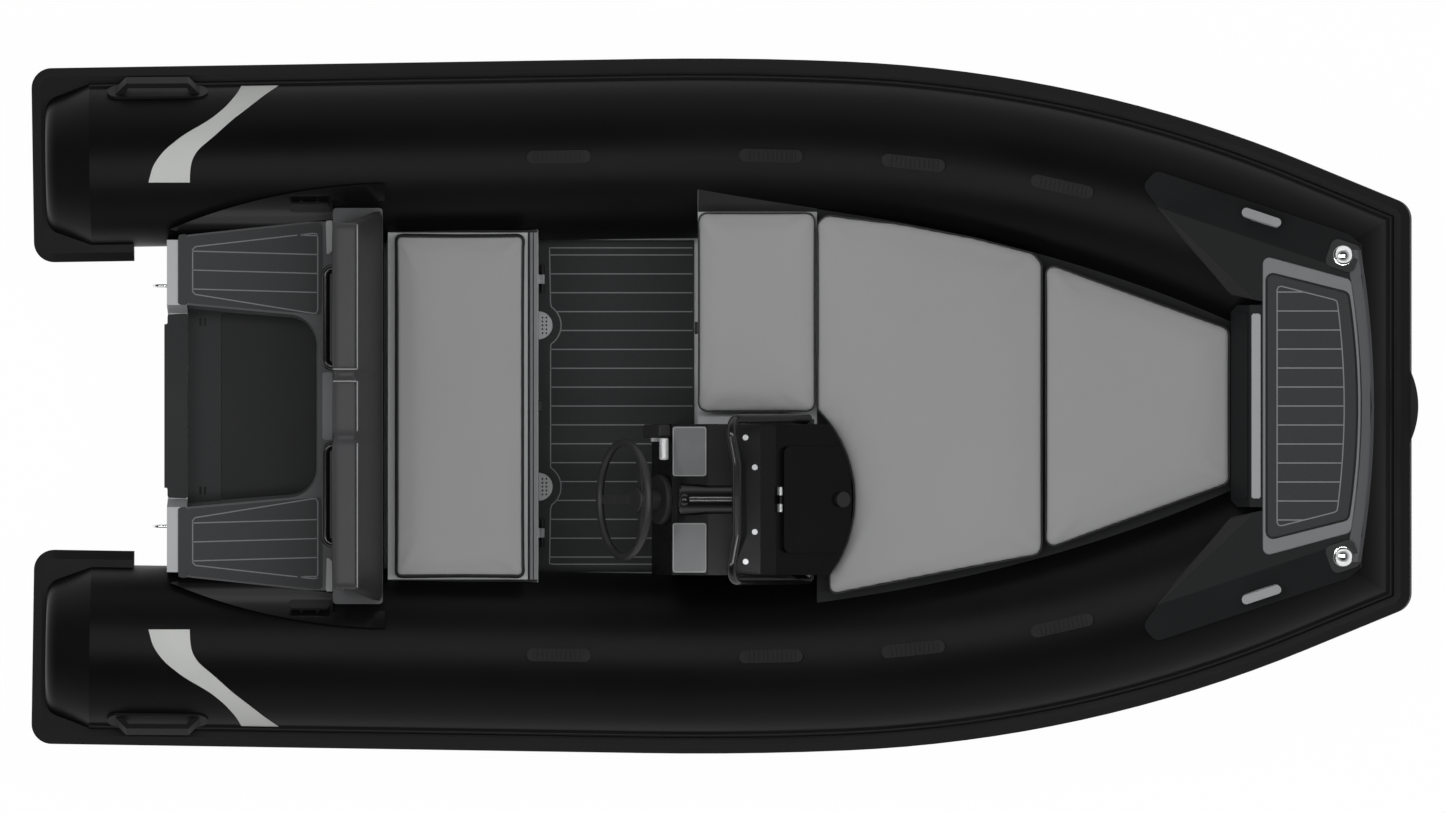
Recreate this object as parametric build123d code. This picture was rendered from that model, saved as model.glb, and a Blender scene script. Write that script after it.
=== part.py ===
from build123d import *
import math
import os

os.makedirs("parts", exist_ok=True)

# All sizes are millimetres and degrees. +X points to the bow, +Y to port, +Z up.
# The origin lies on the waterline, midway along the boat.

# Clearances
seat_gap = 0.3

# Collar of inflated tubes
tube_radius = 235
collar_height = 270
stern_x = -1797
stern_half_width = 684
side_heading = 0.89
knee_x = -257.5
bow_rise = 5
knee_lead = 30
easy_turn = 3.34
easy_radius = 9708
tight_turn = 19.92
tight_radius = 3579
bow_x = 1666
cone_length = 125
cone_taper = 19.5
cone_edge = 45

# Rub strake round the outside of the collar
strake_depth = 40
strake_height = 116
strake_bevel = 25
strake_corner = 57
strake_groove_depth = 8
strake_groove_height = 24
strake_tail = 39
strake_return = 119

# Hull: columns are x, keel height, chine half-width, chine height
hull_aft_stations = (
    (-1523, -250, 560, -30),
    (-200, -250, 565, -30),
    (450, -248, 540, -15),
    (900, -205, 440, 35),
)
hull_fore_stations = (
    (900, -205, 440, 35),
    (1250, -95, 290, 115),
    (1480, 60, 150, 185),
    (1600, 185, 40, 225),
)
chine_flat = 35
hull_tuck_in = 60
hull_tuck_down = 180
fore_tuck_in = 150
rail_shares = (0.36, 0.68)
rail_width = 34
rail_depth = 14
keel_width = 44
keel_thickness = 10

# Levels of the decks and seats
hull_top = 60
floor_thickness = 25
mat_thickness = 5
aft_deck_top = 430
seat_base = 385
bench_cushion_thickness = 80
locker_top = 500
pad_thickness = 80

# Transom
transom_front_x = -1523
transom_thickness = 56
transom_notch_half = 263
transom_notch_height = 258
transom_side_half = 470
pad_width = 464
pad_height = 300
pad_plate_thickness = 10
tow_eye_half = 341
tow_eye_height = 120
eye_wire = 10
eye_reach = 46
eye_width = 44
eye_plate_thickness = 4

# Aft deck with the well for the engine
aft_deck_front_x = -1109
deck_half_aft = 484
deck_half_front = 529
well_half_aft = 286
well_half_front = 252
well_front_x = -1152
well_floor = 150
well_corner = 85
tread_length = 94
tread_thickness = 6
step_margin = 6
step_mat_front_x = -1140

# Fairings where the deck meets the tubes
fairing_aft_x = -1570
fairing_aft_half = 500
fairing_mid_x = -1290
fairing_mid_half = 589
fairing_front_x = -962
fairing_front_half = 628
fairing_thickness = 16

# Cleats
cleat_length = 116
cleat_width = 26
cleat_height = 34
cleat_foot_spacing = 46
cleat_foot_diameter = 14
stern_cleat_x = -1175
stern_cleat_half = 575
bow_cleat_x = 1512
bow_cleat_half = 523

# Backrest
backrest_front_x = -968
backrest_top_front_x = -1038
backrest_half = 560
backrest_bevel = 39
backrest_bottom = 470
backrest_top = 790
back_panel_thickness = 12
back_panel_inset = 24
back_panel_drop = 40
back_rail_diameter = 25
back_rail_height = 640
back_rail_inner = 112
back_rail_outer = 388
back_rail_reach = 55

# Bench locker with a drop-down door in front
bench_aft_x = -954
bench_front_x = -529
bench_wall = 14
bench_half = 455
bench_rim_half = 520
bench_rim_thickness = 15
bench_cushion_half = 492
bench_cushion_aft_x = -940
bench_cushion_front_x = -560
bench_cushion_corner = 24
door_thickness = 14
door_half = 430
door_bottom = 116
door_top = 360
door_hinge_x = -518
door_hinge_half = 360
door_hinge_width = 78
door_hinge_diameter = 12
door_pin_diameter = 6
latch_width = 34
latch_height = 40
latch_thickness = 9

# Floor
mat_half = 470
drain_half = 229
drain_radius = 40
drain_thickness = 2

# Side seat
side_seat_aft_x = -71
side_seat_inner = -17
side_seat_outer = 546
side_rim = 17
side_locker_front_x = 260
cushion_corner = 23

# Sundeck and bow cushions
sundeck_aft_x = 260
sundeck_front_x = 897
sundeck_outline = (
    (286, 541),
    (502, 515),
    (710, 475),
    (874, 432),
)
sundeck_starboard = (
    (891, -420),
    (294, -535),
)
sundeck_arc_centre = (4, -263)
sundeck_arc_radius = 360
bow_cushion_aft_x = 905
bow_cushion_aft_half = 407
bow_cushion_front_x = 1426
bow_cushion_front_half = 219
bow_locker_front_x = 1429
locker_bulkhead_x = 900
locker_step = 300

# Helm console
console_centre = -264
console_half = 213
console_aft_x = -150
console_lip_x = -207
console_lip_height = 600
console_face_top = 720
console_dash_x = -48
console_dash_top = 760
console_brow_x = 100
console_slope_x = 144
console_slope_top = 726
console_nose_x = 356
console_nose_top = 606
console_foot_height = 540
console_wall = 12
dash_panel_half = 70
dash_panel_offset = 136
dash_panel_thickness = 4

# Hatch lid on the console
lid_half = 150
lid_thickness = 14
lid_margin = 4
lid_hinge_diameter = 12
lid_hinge_lead = 10
lid_hinge_width = 70
lid_knob_diameter = 44
lid_knob_height = 14
locker_well_bottom = 120
locker_well_margin = 22

# Steering
wheel_diameter = 345
wheel_rim = 22
wheel_reach = 117
wheel_dish = 45
wheel_hub_diameter = 74
wheel_hub_thickness = 22
wheel_spoke_width = 26
wheel_spoke_thickness = 7
wheel_spoke_angles = (180, 60, -60)
helm_diameter = 141
helm_thickness = 16
helm_neck_diameter = 60
helm_neck_length = 26
shaft_diameter = 20

# Throttle beside the wheel
throttle_y = -71
throttle_base_width = 38
throttle_base_length = 110
throttle_base_height = 34
throttle_base_corner = 10
throttle_hub_diameter = 32
throttle_hub_thickness = 10
throttle_lever_rise = 92
throttle_lever_lean = 20
throttle_lever_width = 20
throttle_grip_width = 62
throttle_grip_diameter = 26

# Windshield and its rail
rail_diameter = 27
rail_top = 1000
rail_half = 227
rail_foot_height = 610
rail_foot_diameter = 34
rail_kink_half = 101
rail_back_x = 11
rail_front_x = 33
rail_foot_x = 235
rail_bend = 45
screen_thickness = 6
screen_half = 165
screen_kink_half = 101
screen_front_x = 62
screen_back_x = 36
screen_height = 215
screen_flange = 22
stud_diameter = 16
stud_height = 8

# Bow riser, bow step and what stands on it
riser_half = 285
riser_ends = (
    (215, 500),
    (262, 575),
    (285, 612),
)
riser_tube_gap = 4
riser_top_x = 1517
riser_ledge = 36
riser_panel_half = 263
riser_panel_thickness = 3
step_lift = 16
step_edge_drop = 30
wing_width = 96
step_skirt_bottom = 500
step_outline = (
    (1214, 665),
    (1755, 485),
    (1791, 456),
)
bow_step_front_x = 1825
step_inner = (
    (1177, 622),
    (1273, 492),
    (1429, 314),
    (1517, 295),
)
step_tip_corner = 24
platform_half_aft = 425
platform_half_front = 357
platform_front_x = 1766
platform_thickness = 5
bow_mat_half_aft = 375
bow_mat_half_front = 317
bow_mat_aft_x = 1531
bow_mat_front_x = 1760
bow_mat_corner = 18
lamp_x = 1743
lamp_half = 421
lamp_diameter = 58
lamp_base_length = 86
lamp_base_width = 84
lamp_base_height = 12

# Handles on the tubes: x of each strap handle
strap_spots = (-470, 151, 553, 972)
strap_length = 181
strap_width = 36
strap_lift = 9
strap_rib = 4
strap_rib_count = 11
carry_x = -1606
carry_length = 286
carry_width = 58
carry_base_thickness = 6
carry_rise = 42
carry_grip = 16
carry_angle = 12
bow_handle_half = 102
bow_handle_height = 56
bow_handle_depth = 18

# Values worked out from the sizes above
floor_top = hull_top + floor_thickness
mat_top = floor_top + mat_thickness
bench_cushion_top = seat_base + bench_cushion_thickness
strake_root = tube_radius + strake_depth - strake_corner
bow_heading = side_heading - easy_turn - tight_turn
corner_turn = 90 + bow_heading
level = Plane(origin=(0, 0, collar_height))
rise_cos = math.cos(math.radians(bow_rise))
rise_sin = math.sin(math.radians(bow_rise))
pitched = Plane(
    origin=(knee_x, 0, collar_height),
    x_dir=(rise_cos, 0, rise_sin),
    z_dir=(-rise_sin, 0, rise_cos),
)
knee_half_width = stern_half_width + (knee_x - stern_x) * math.tan(math.radians(side_heading))
side_length = (knee_x - stern_x) / math.cos(math.radians(side_heading))
bow_reach = (bow_x - knee_x) / rise_cos
wheel_tilt = math.degrees(math.atan2(
    console_aft_x - console_lip_x, console_face_top - console_lip_height
))
overrun = 60


# Plain geometry
def direction(heading):
    # unit step ahead, in a plane's own axes
    angle = math.radians(heading)
    return math.cos(angle), math.sin(angle)


def step_ahead(spot, heading, distance):
    ahead = direction(heading)
    return spot[0] + distance * ahead[0], spot[1] + distance * ahead[1]


def step_left(spot, heading, distance):
    return step_ahead(spot, heading + 90, distance)


def world(plane, spot, height=0):
    return plane.from_local_coords((spot[0], spot[1], height))


def along(plane, heading):
    ahead = direction(heading)
    return plane.x_dir * ahead[0] + plane.y_dir * ahead[1]


def section_plane(plane, spot, heading):
    # looks ahead along the path, with its own x to the left and its own y up
    return Plane(
        origin=world(plane, spot),
        x_dir=along(plane, heading + 90),
        z_dir=along(plane, heading),
    )


def joined(pieces):
    whole = pieces[0]
    for piece in pieces[1:]:
        whole = whole + piece
    return whole


def carried(section, plane, spot, heading, moves):
    # moves have columns: straight run, turn to the right, radius of the turn
    pieces = []
    for run, turn, radius in moves:
        if run > 0:
            face = section_plane(plane, spot, heading) * section
            pieces.append(extrude(face, run, dir=along(plane, heading)))
            spot = step_ahead(spot, heading, run)
        if turn > 0:
            face = section_plane(plane, spot, heading) * section
            hub = step_left(spot, heading, -radius)
            axis = Axis(world(plane, hub), plane.z_dir * -1)
            pieces.append(revolve(face, axis, revolution_arc=turn))
            heading = heading - turn
            spot = step_left(hub, heading, radius)
    return joined(pieces)


def route(spot, heading, moves):
    # where such a path ends
    for run, turn, radius in moves:
        spot = step_ahead(spot, heading, run)
        hub = step_left(spot, heading, -radius)
        heading = heading - turn
        spot = step_left(hub, heading, radius)
    return spot, heading


def face_of(points):
    return make_face(Polyline(*points, close=True))


def near(vertices, point):
    return min(vertices, key=lambda v: math.dist((v.X, v.Y), point))


def rounded(points, radius, corners=None):
    # plan face with all corners, or the named ones, rounded
    face = face_of(points)
    vertices = face.vertices()
    chosen = [near(vertices, p) for p in (corners or points)]
    return fillet(chosen, radius)


def mirrored_points(points):
    return list(points) + [(x, -y) for x, y in reversed(points) if abs(y) > 0]


def slab(face, bottom, top):
    return Pos(0, 0, bottom) * extrude(face, top - bottom, dir=(0, 0, 1))


def box_between(x0, x1, y0, y1, z0, z1):
    centre = Pos((x0 + x1) / 2, (y0 + y1) / 2, (z0 + z1) / 2)
    return centre * Box(x1 - x0, y1 - y0, z1 - z0)


def side_profile(points, y0, y1):
    # points are x, z; the piece runs from y0 to y1
    face = Plane.XZ * face_of(points)
    return Pos(0, y0, 0) * extrude(face, y1 - y0, dir=(0, 1, 0))


def both_sides(piece):
    return piece, mirror(piece, about=Plane.XZ)


def pair(piece):
    return Compound(children=[solid for half in both_sides(piece) for solid in half.solids()])


def solids_of(pieces):
    return Compound(children=[solid for piece in pieces for solid in piece.solids()])


def rod(start, end, diameter):
    start, end = Vector(*start), Vector(*end)
    plane = Plane(origin=start, z_dir=end - start)
    return extrude(plane * Circle(diameter / 2), (end - start).length)


def upright(x, y, bottom, top, diameter):
    return rod((x, y, bottom), (x, y, top), diameter)


# Collar
def bow_moves(offset):
    # the two turns of a side tube's fore part, on a line that far outside its centreline
    return [
        (knee_lead, easy_turn, easy_radius + offset),
        (0, tight_turn, tight_radius + offset),
    ]


def corner_spot():
    # where the centrelines of the port tube and the bow tube meet
    spot, heading = route((0, knee_half_width), side_heading, bow_moves(0))
    rest = (bow_reach - spot[0]) / math.cos(math.radians(heading))
    return step_ahead(spot, heading, rest), rest


bow_corner, last_run = corner_spot()
corner_lead = math.tan(math.radians(corner_turn / 2))


def knee_cut():
    ahead = along(level, side_heading) + along(pitched, side_heading)
    return Plane(origin=world(level, (knee_x, knee_half_width)), z_dir=ahead)


def corner_cut():
    ahead = along(pitched, bow_heading) + along(pitched, -90)
    return Plane(origin=world(pitched, bow_corner), z_dir=ahead)


def side_tube(radius):
    section = Circle(radius)
    aft = carried(
        section, level, (stern_x, stern_half_width), side_heading,
        [(side_length + overrun, 0, 0)],
    )
    start = step_ahead((0, knee_half_width), side_heading, -overrun)
    moves = [(overrun, 0, 0)] + bow_moves(0) + [(last_run + tube_radius, 0, 0)]
    fore = carried(section, pitched, start, side_heading, moves)
    aft = split(aft, bisect_by=knee_cut(), keep=Keep.BOTTOM)
    fore = split(fore, bisect_by=knee_cut(), keep=Keep.TOP)
    fore = split(fore, bisect_by=corner_cut(), keep=Keep.BOTTOM)
    return aft + fore


def bow_tube(radius):
    spot = step_left(bow_corner, 0, tube_radius)
    length = 2 * spot[1]
    bar = carried(Circle(radius), pitched, spot, -90, [(length, 0, 0)])
    bar = split(bar, bisect_by=corner_cut(), keep=Keep.TOP)
    other = mirror(bar, about=Plane.XZ)
    return bar & other


def stern_frame():
    # at the port tube's aft end: own x points aft, own z up
    return Plane(
        origin=world(level, (stern_x, stern_half_width)),
        x_dir=along(level, side_heading) * -1,
        z_dir=(0, 0, 1),
    )


def stern_cone(radius, length):
    end_radius = radius - length * math.tan(math.radians(cone_taper))
    points = [(0, 0), (0, radius), (length, end_radius), (length, 0)]
    profile = rounded(points, cone_edge, [(length, end_radius)])
    frame = stern_frame()
    return revolve(frame * profile, Axis(frame.origin, frame.x_dir))


side_cut_port, side_cut_starboard = both_sides(side_tube(tube_radius + seat_gap))
bow_cut = bow_tube(tube_radius + seat_gap)
cone_cuts = both_sides(stern_cone(tube_radius + seat_gap, cone_length + seat_gap))


def beside_tubes(piece):
    # what is left of a piece once the collar, with its seat gap, is taken out
    for cut in (side_cut_port, side_cut_starboard, bow_cut):
        piece = piece - cut
    return piece


def between_tubes(piece):
    # the same, without what lies outside the collar's centreline
    piece = piece & well_of_collar
    return beside_tubes(piece)


# Rub strake
def strake_section():
    # x is measured outwards from the strake's root line
    inner = tube_radius - 13 - strake_root
    outer = strake_corner
    shoulder = outer - strake_bevel
    half = strake_height / 2
    brow = half - strake_bevel
    groove = strake_groove_height / 2
    upper = [
        (inner, half),
        (shoulder, half),
        (outer, brow),
        (outer, groove),
        (outer - strake_groove_depth, groove - strake_groove_depth / 2),
    ]
    lower = [(x, -z) for x, z in reversed(upper)]
    return face_of(upper + lower)


def strake_side():
    section = strake_section()
    tail = cone_length + strake_tail - strake_corner
    start = step_left((stern_x, stern_half_width), side_heading, -strake_root)
    start = step_ahead(start, side_heading, strake_return)
    moves = [
        (strake_return + tail, 90, 0),
        (2 * strake_root, 90, 0),
        (tail + side_length + overrun, 0, 0),
    ]
    aft = carried(section, level, start, side_heading + 180, moves)
    web_reach = strake_root + 6
    web = face_of([
        (-overrun, -web_reach),
        (tail + 6, -web_reach),
        (tail + 6, web_reach),
        (-overrun, web_reach),
    ])
    frame = stern_frame()
    web = extrude(frame * web, strake_height / 2, both=True)
    aft = split(aft + web, bisect_by=knee_cut(), keep=Keep.BOTTOM)
    start = step_left((0, knee_half_width), side_heading, strake_root)
    start = step_ahead(start, side_heading, -overrun)
    moves = [(overrun, 0, 0)] + bow_moves(strake_root)
    moves = moves + [(last_run + strake_root * corner_lead, corner_turn, 0)]
    fore = carried(section, pitched, start, side_heading, moves)
    fore = split(fore, bisect_by=knee_cut(), keep=Keep.TOP)
    return aft + fore - side_cut_port - bow_cut - cone_cuts[0]


def strake_bow():
    spot = step_ahead(bow_corner, bow_heading, strake_root * corner_lead)
    spot = step_left(spot, bow_heading, strake_root)
    bar = carried(strake_section(), pitched, spot, -90, [(2 * spot[1], 0, 0)])
    return beside_tubes(bar)


# Hull
def tube_half_width(x):
    # the port centreline's distance from the middle plane
    if x <= knee_x:
        return stern_half_width + (x - stern_x) * math.tan(math.radians(side_heading))
    u = (x - knee_x) / rise_cos
    spot, heading = (0, knee_half_width), side_heading
    spot = step_ahead(spot, heading, knee_lead)
    for turn, radius in ((easy_turn, easy_radius), (tight_turn, tight_radius)):
        hub = step_left(spot, heading, -radius)
        heading = heading - turn
        spot = step_left(hub, heading, radius)
        if u <= spot[0]:
            return hub[1] + math.sqrt(radius ** 2 - (u - hub[0]) ** 2)
    return spot[1] + (u - spot[0]) * math.tan(math.radians(heading))


def tube_height(x):
    return collar_height + max(0, x - knee_x) * rise_sin / rise_cos


def inner_prism():
    count = 12
    spots = [stern_x + (bow_x - stern_x) * number / count for number in range(count + 1)]
    plan = mirrored_points([(x, tube_half_width(x)) for x in spots])
    return slab(face_of(plan), hull_aft_stations[0][1], rail_top)


well_of_collar = inner_prism()


def cross_section(x, half):
    # half is the port side, from the keel round to the top
    other = [(-y, z) for y, z in reversed(half) if y > 0]
    plane = Plane(origin=(x, 0, 0), x_dir=(0, 1, 0), z_dir=(1, 0, 0))
    return plane * face_of(half + other)


def aft_section(x, keel, chine_half, chine):
    half = [
        (0, keel),
        (chine_half, chine),
        (chine_half + chine_flat, chine - 3),
        (tube_half_width(x) - hull_tuck_in, hull_top),
    ]
    return cross_section(x, half)


def fore_section(x, keel, chine_half, chine):
    half = [
        (0, keel),
        (chine_half, chine),
        (chine_half + chine_flat, chine - 3),
        (tube_half_width(x) - hull_tuck_in, tube_height(x) - hull_tuck_down),
        (tube_half_width(x) - fore_tuck_in, locker_step),
    ]
    return cross_section(x, half)


def rail_section(x, keel, chine_half, chine, share):
    # a triangle on the hull's bottom, that share of the way from keel to chine
    half = chine_half * share
    slope = (chine - keel) / chine_half
    outer = (half + rail_width / 2, keel + slope * (half + rail_width / 2))
    inner = (half - rail_width / 2, keel + slope * (half - rail_width / 2))
    points = [
        (inner[0], inner[1] + rail_depth / 2),
        inner,
        (outer[0], outer[1] - rail_depth),
        (outer[0], outer[1] + rail_depth / 2),
    ]
    plane = Plane(origin=(x, 0, 0), x_dir=(0, 1, 0), z_dir=(1, 0, 0))
    return plane * face_of(points)


def spray_rails():
    stations = hull_aft_stations + hull_fore_stations[1:2]
    rails = []
    for share in rail_shares:
        sections = [rail_section(*station, share) for station in stations]
        rails.extend(both_sides(loft(sections, ruled=True)))
    return rails


def hull():
    aft = loft([aft_section(*station) for station in hull_aft_stations], ruled=True)
    fore = loft([fore_section(*station) for station in hull_fore_stations], ruled=True)
    return beside_tubes(joined([aft, fore] + spray_rails()))


def keel_guard(hull_solid):
    stations = hull_aft_stations + hull_fore_stations[1:]
    below = [(x, keel - keel_thickness) for x, keel, _, _ in stations]
    above = [(x, keel + keel_thickness) for x, keel, _, _ in reversed(stations)]
    strip = side_profile(below + above, -keel_width / 2, keel_width / 2)
    return beside_tubes(strip) - hull_solid


# Transom and aft deck
def transom():
    aft_x = transom_front_x - transom_thickness
    keel, chine_half, chine = hull_aft_stations[0][1:]
    half = [
        (0, keel),
        (chine_half, chine),
        (chine_half + chine_flat, chine - 3),
        (tube_half_width(aft_x) - hull_tuck_in, hull_top),
        (transom_side_half, collar_height),
        (transom_side_half, aft_deck_top),
        (transom_notch_half + 23, aft_deck_top),
        (transom_notch_half, transom_notch_height),
    ]
    plate = extrude(cross_section(aft_x, half), transom_thickness, dir=(1, 0, 0))
    return beside_tubes(plate)


def transom_pad():
    aft_x = transom_front_x - transom_thickness
    plate = box_between(
        aft_x - pad_plate_thickness, aft_x,
        -pad_width / 2, pad_width / 2,
        transom_notch_height - pad_height, transom_notch_height,
    )
    edges = plate.edges().filter_by(Axis.X)
    return fillet(edges, 20)


def eye_bolt(base):
    # a U of round wire on a small plate; own z points away from the boat
    half = eye_width / 2 - eye_wire / 2
    reach = eye_reach - eye_wire / 2
    path = FilletPolyline(
        (-half, 0, 0), (-half, 0, reach), (half, 0, reach), (half, 0, 0),
        radius=half * 0.9,
    )
    wire = sweep(Plane.XY * Pos(-half, 0) * Circle(eye_wire / 2), path=path)
    plate = extrude(SlotOverall(eye_width + 30, 24), eye_plate_thickness)
    return base * (wire + plate)


def towing_eyes():
    aft_x = transom_front_x - transom_thickness
    stern = Plane(
        origin=(aft_x, tow_eye_half, tow_eye_height), x_dir=(0, 0, 1), z_dir=(-1, 0, 0)
    )
    eyes = list(both_sides(eye_bolt(stern)))
    (x0, keel0), (x1, keel1) = [station[:2] for station in hull_fore_stations[1:3]]
    slope = math.atan2(keel1 - keel0, x1 - x0)
    middle = ((x0 + x1) / 2, 0, (keel0 + keel1) / 2)
    outward = Vector(math.sin(slope), 0, -math.cos(slope))
    bow = Plane(
        origin=Vector(*middle) + outward * (keel_thickness + seat_gap),
        x_dir=(math.cos(slope), 0, math.sin(slope)),
        z_dir=outward,
    )
    eyes.append(eye_bolt(bow))
    return solids_of(eyes)


def aft_deck():
    outer = mirrored_points([
        (transom_front_x, deck_half_aft),
        (aft_deck_front_x, deck_half_front),
    ])
    block = slab(face_of(outer), hull_top, aft_deck_top)
    well = mirrored_points([
        (transom_front_x - 1, well_half_aft),
        (well_front_x, well_half_front),
    ])
    front = [(well_front_x, well_half_front), (well_front_x, -well_half_front)]
    pocket = slab(rounded(well, well_corner, front), well_floor, aft_deck_top + 1)
    return beside_tubes(block - pocket)


def aft_mats():
    tread = mirrored_points([
        (transom_front_x + seat_gap, well_half_aft - 12),
        (transom_front_x + tread_length, well_half_aft - 20),
    ])
    pieces = [slab(face_of(tread), well_floor, well_floor + tread_thickness)]
    share = (step_mat_front_x - transom_front_x) / (aft_deck_front_x - transom_front_x)
    front_half = deck_half_aft + share * (deck_half_front - deck_half_aft)
    step = rounded([
        (transom_front_x, deck_half_aft - step_margin),
        (step_mat_front_x, front_half - step_margin),
        (step_mat_front_x, well_half_front + step_margin),
        (transom_front_x, well_half_aft + step_margin),
    ], 12)
    pieces.extend(both_sides(slab(step, aft_deck_top, aft_deck_top + mat_thickness)))
    return solids_of([pieces[0]] + [beside_tubes(piece) for piece in pieces[1:]])


def fairings():
    # a shell that follows the tube from the deck's edge outwards
    edge = [
        Line((transom_front_x, deck_half_aft), (fairing_aft_x, fairing_aft_half)),
        ThreePointArc(
            (fairing_aft_x, fairing_aft_half),
            (fairing_mid_x, fairing_mid_half),
            (fairing_front_x, fairing_front_half),
        ),
        Line((fairing_front_x, fairing_front_half), (fairing_front_x, backrest_half + 20)),
        Line((fairing_front_x, backrest_half + 20), (aft_deck_front_x, backrest_half + 20)),
        Line((aft_deck_front_x, backrest_half + 20), (aft_deck_front_x, deck_half_front)),
        Line((aft_deck_front_x, deck_half_front), (transom_front_x, deck_half_aft)),
    ]
    plan = make_face(Wire(edge))
    post = slab(plan, collar_height, collar_height + 2 * tube_radius)
    shell = side_tube(tube_radius + fairing_thickness) & post
    return pair(shell - side_cut_port)


# Cleats
def cleat(base):
    # own x runs along the cleat, own z up
    horn = cleat_height - cleat_width / 4
    profile = face_of([
        (-cleat_length / 2, cleat_height),
        (-cleat_length / 2 + 8, cleat_height - 10),
        (-cleat_foot_spacing / 2, horn - 8),
        (cleat_foot_spacing / 2, horn - 8),
        (cleat_length / 2 - 8, cleat_height - 10),
        (cleat_length / 2, cleat_height),
    ])
    bar = extrude(Plane.XZ * profile, cleat_width / 2, both=True)
    clip = slab(SlotOverall(cleat_length, cleat_width), 0, cleat_height)
    bar = bar & clip
    feet = [
        upright(side * cleat_foot_spacing / 2, 0, 0, cleat_height - 8, cleat_foot_diameter)
        for side in (-1, 1)
    ]
    return base * joined([bar] + feet)


def cleats():
    # the stern pair stands square to the tube, above the fairing
    centre = tube_half_width(stern_cleat_x)
    lean = math.asin((centre - stern_cleat_half) / (tube_radius + fairing_thickness))
    outward = Vector(0, -math.sin(lean), math.cos(lean))
    foot = Vector(stern_cleat_x, centre, collar_height)
    foot = foot + outward * (tube_radius + fairing_thickness + seat_gap)
    base = Plane(origin=foot, x_dir=(1, 0, 0), z_dir=outward)
    sets = list(both_sides(cleat(base)))
    sets.extend(both_sides(cleat(wing_frame(bow_cleat_x, bow_cleat_half))))
    return solids_of(sets)


# Backrest and bench
def backrest_plinth():
    back_x = aft_deck_front_x
    base = rounded([
        (back_x, -backrest_half), (back_x, backrest_half),
        (backrest_front_x, backrest_half), (backrest_front_x, -backrest_half),
    ], 10)
    plinth = slab(base, hull_top + floor_thickness, backrest_bottom)
    panel_x = back_x + back_panel_inset
    panel = box_between(
        panel_x, panel_x + back_panel_thickness,
        -backrest_half + backrest_bevel, backrest_half - backrest_bevel,
        backrest_bottom, backrest_top - back_panel_drop,
    )
    return beside_tubes(plinth + panel)


def backrest():
    back_x = aft_deck_front_x
    front_x = back_x + back_panel_inset + back_panel_thickness
    profile = [
        (backrest_front_x, backrest_bottom),
        (backrest_top_front_x, backrest_top),
        (back_x, backrest_top),
        (back_x, backrest_top - back_panel_drop),
        (front_x, backrest_top - back_panel_drop),
        (front_x, backrest_bottom),
    ]
    pad = side_profile(profile, -backrest_half, backrest_half)
    inner = backrest_half - backrest_bevel
    bevel = face_of(mirrored_points([
        (back_x, inner), (backrest_top_front_x, inner), (backrest_front_x, backrest_half),
    ]))
    return pad & slab(bevel, 0, backrest_top)


def backrest_rails():
    radius = back_rail_diameter / 2
    seat_x = aft_deck_front_x + back_panel_inset
    out_x = seat_x - back_rail_reach + radius
    path = FilletPolyline(
        (seat_x, back_rail_inner, back_rail_height),
        (out_x, back_rail_inner, back_rail_height),
        (out_x, back_rail_outer, back_rail_height),
        (seat_x, back_rail_outer, back_rail_height),
        radius=radius * 1.6,
    )
    start = Plane(origin=(seat_x, back_rail_inner, back_rail_height), z_dir=(-1, 0, 0))
    return pair(sweep(start * Circle(radius), path=path))


def bench_locker():
    inner_x = bench_aft_x + bench_wall
    front_x = bench_front_x - door_thickness
    outer = box_between(bench_aft_x, front_x, -bench_half, bench_half, floor_top, seat_base)
    rim = box_between(
        bench_aft_x, bench_front_x, -bench_rim_half, bench_rim_half,
        seat_base - bench_rim_thickness, seat_base,
    )
    room = box_between(
        inner_x, front_x - bench_wall,
        -bench_half + bench_wall, bench_half - bench_wall,
        floor_top + bench_wall, seat_base - bench_rim_thickness,
    )
    doorway = box_between(
        front_x - bench_wall - 1, front_x + 1,
        -door_half + bench_wall, door_half - bench_wall,
        door_bottom + bench_wall, door_top - bench_wall,
    )
    return beside_tubes(outer + rim - room - doorway)


def bench_door():
    aft_x = bench_front_x - door_thickness + seat_gap
    panel = box_between(
        aft_x, bench_front_x, -door_half, door_half, door_bottom, door_top
    )
    panel = fillet(panel.edges().filter_by(Axis.X), 12)
    knuckles = []
    for side in (-1, 1):
        y = side * door_hinge_half
        radius = door_hinge_diameter / 2
        knuckle = rod(
            (door_hinge_x, y - door_hinge_width / 6, hinge_height()),
            (door_hinge_x, y + door_hinge_width / 6, hinge_height()),
            door_hinge_diameter,
        )
        leaf = side_profile([
            (bench_front_x, door_bottom + 4),
            (bench_front_x + 3, door_bottom + 4),
            (door_hinge_x + radius, hinge_height()),
            (door_hinge_x - radius, hinge_height()),
            (bench_front_x, door_bottom - 4 + 4),
        ], y - door_hinge_width / 6, y + door_hinge_width / 6)
        plate = box_between(
            bench_front_x, bench_front_x + 3,
            y - door_hinge_width / 6, y + door_hinge_width / 6,
            door_bottom, door_bottom + 40,
        )
        bore = rod(
            (door_hinge_x, y - door_hinge_width, hinge_height()),
            (door_hinge_x, y + door_hinge_width, hinge_height()),
            door_pin_diameter + 2 * seat_gap,
        )
        knuckles.append(knuckle + leaf + plate - bore)
    return joined([panel] + knuckles)


def hinge_height():
    return mat_top + door_hinge_diameter / 2 + 3


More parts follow.
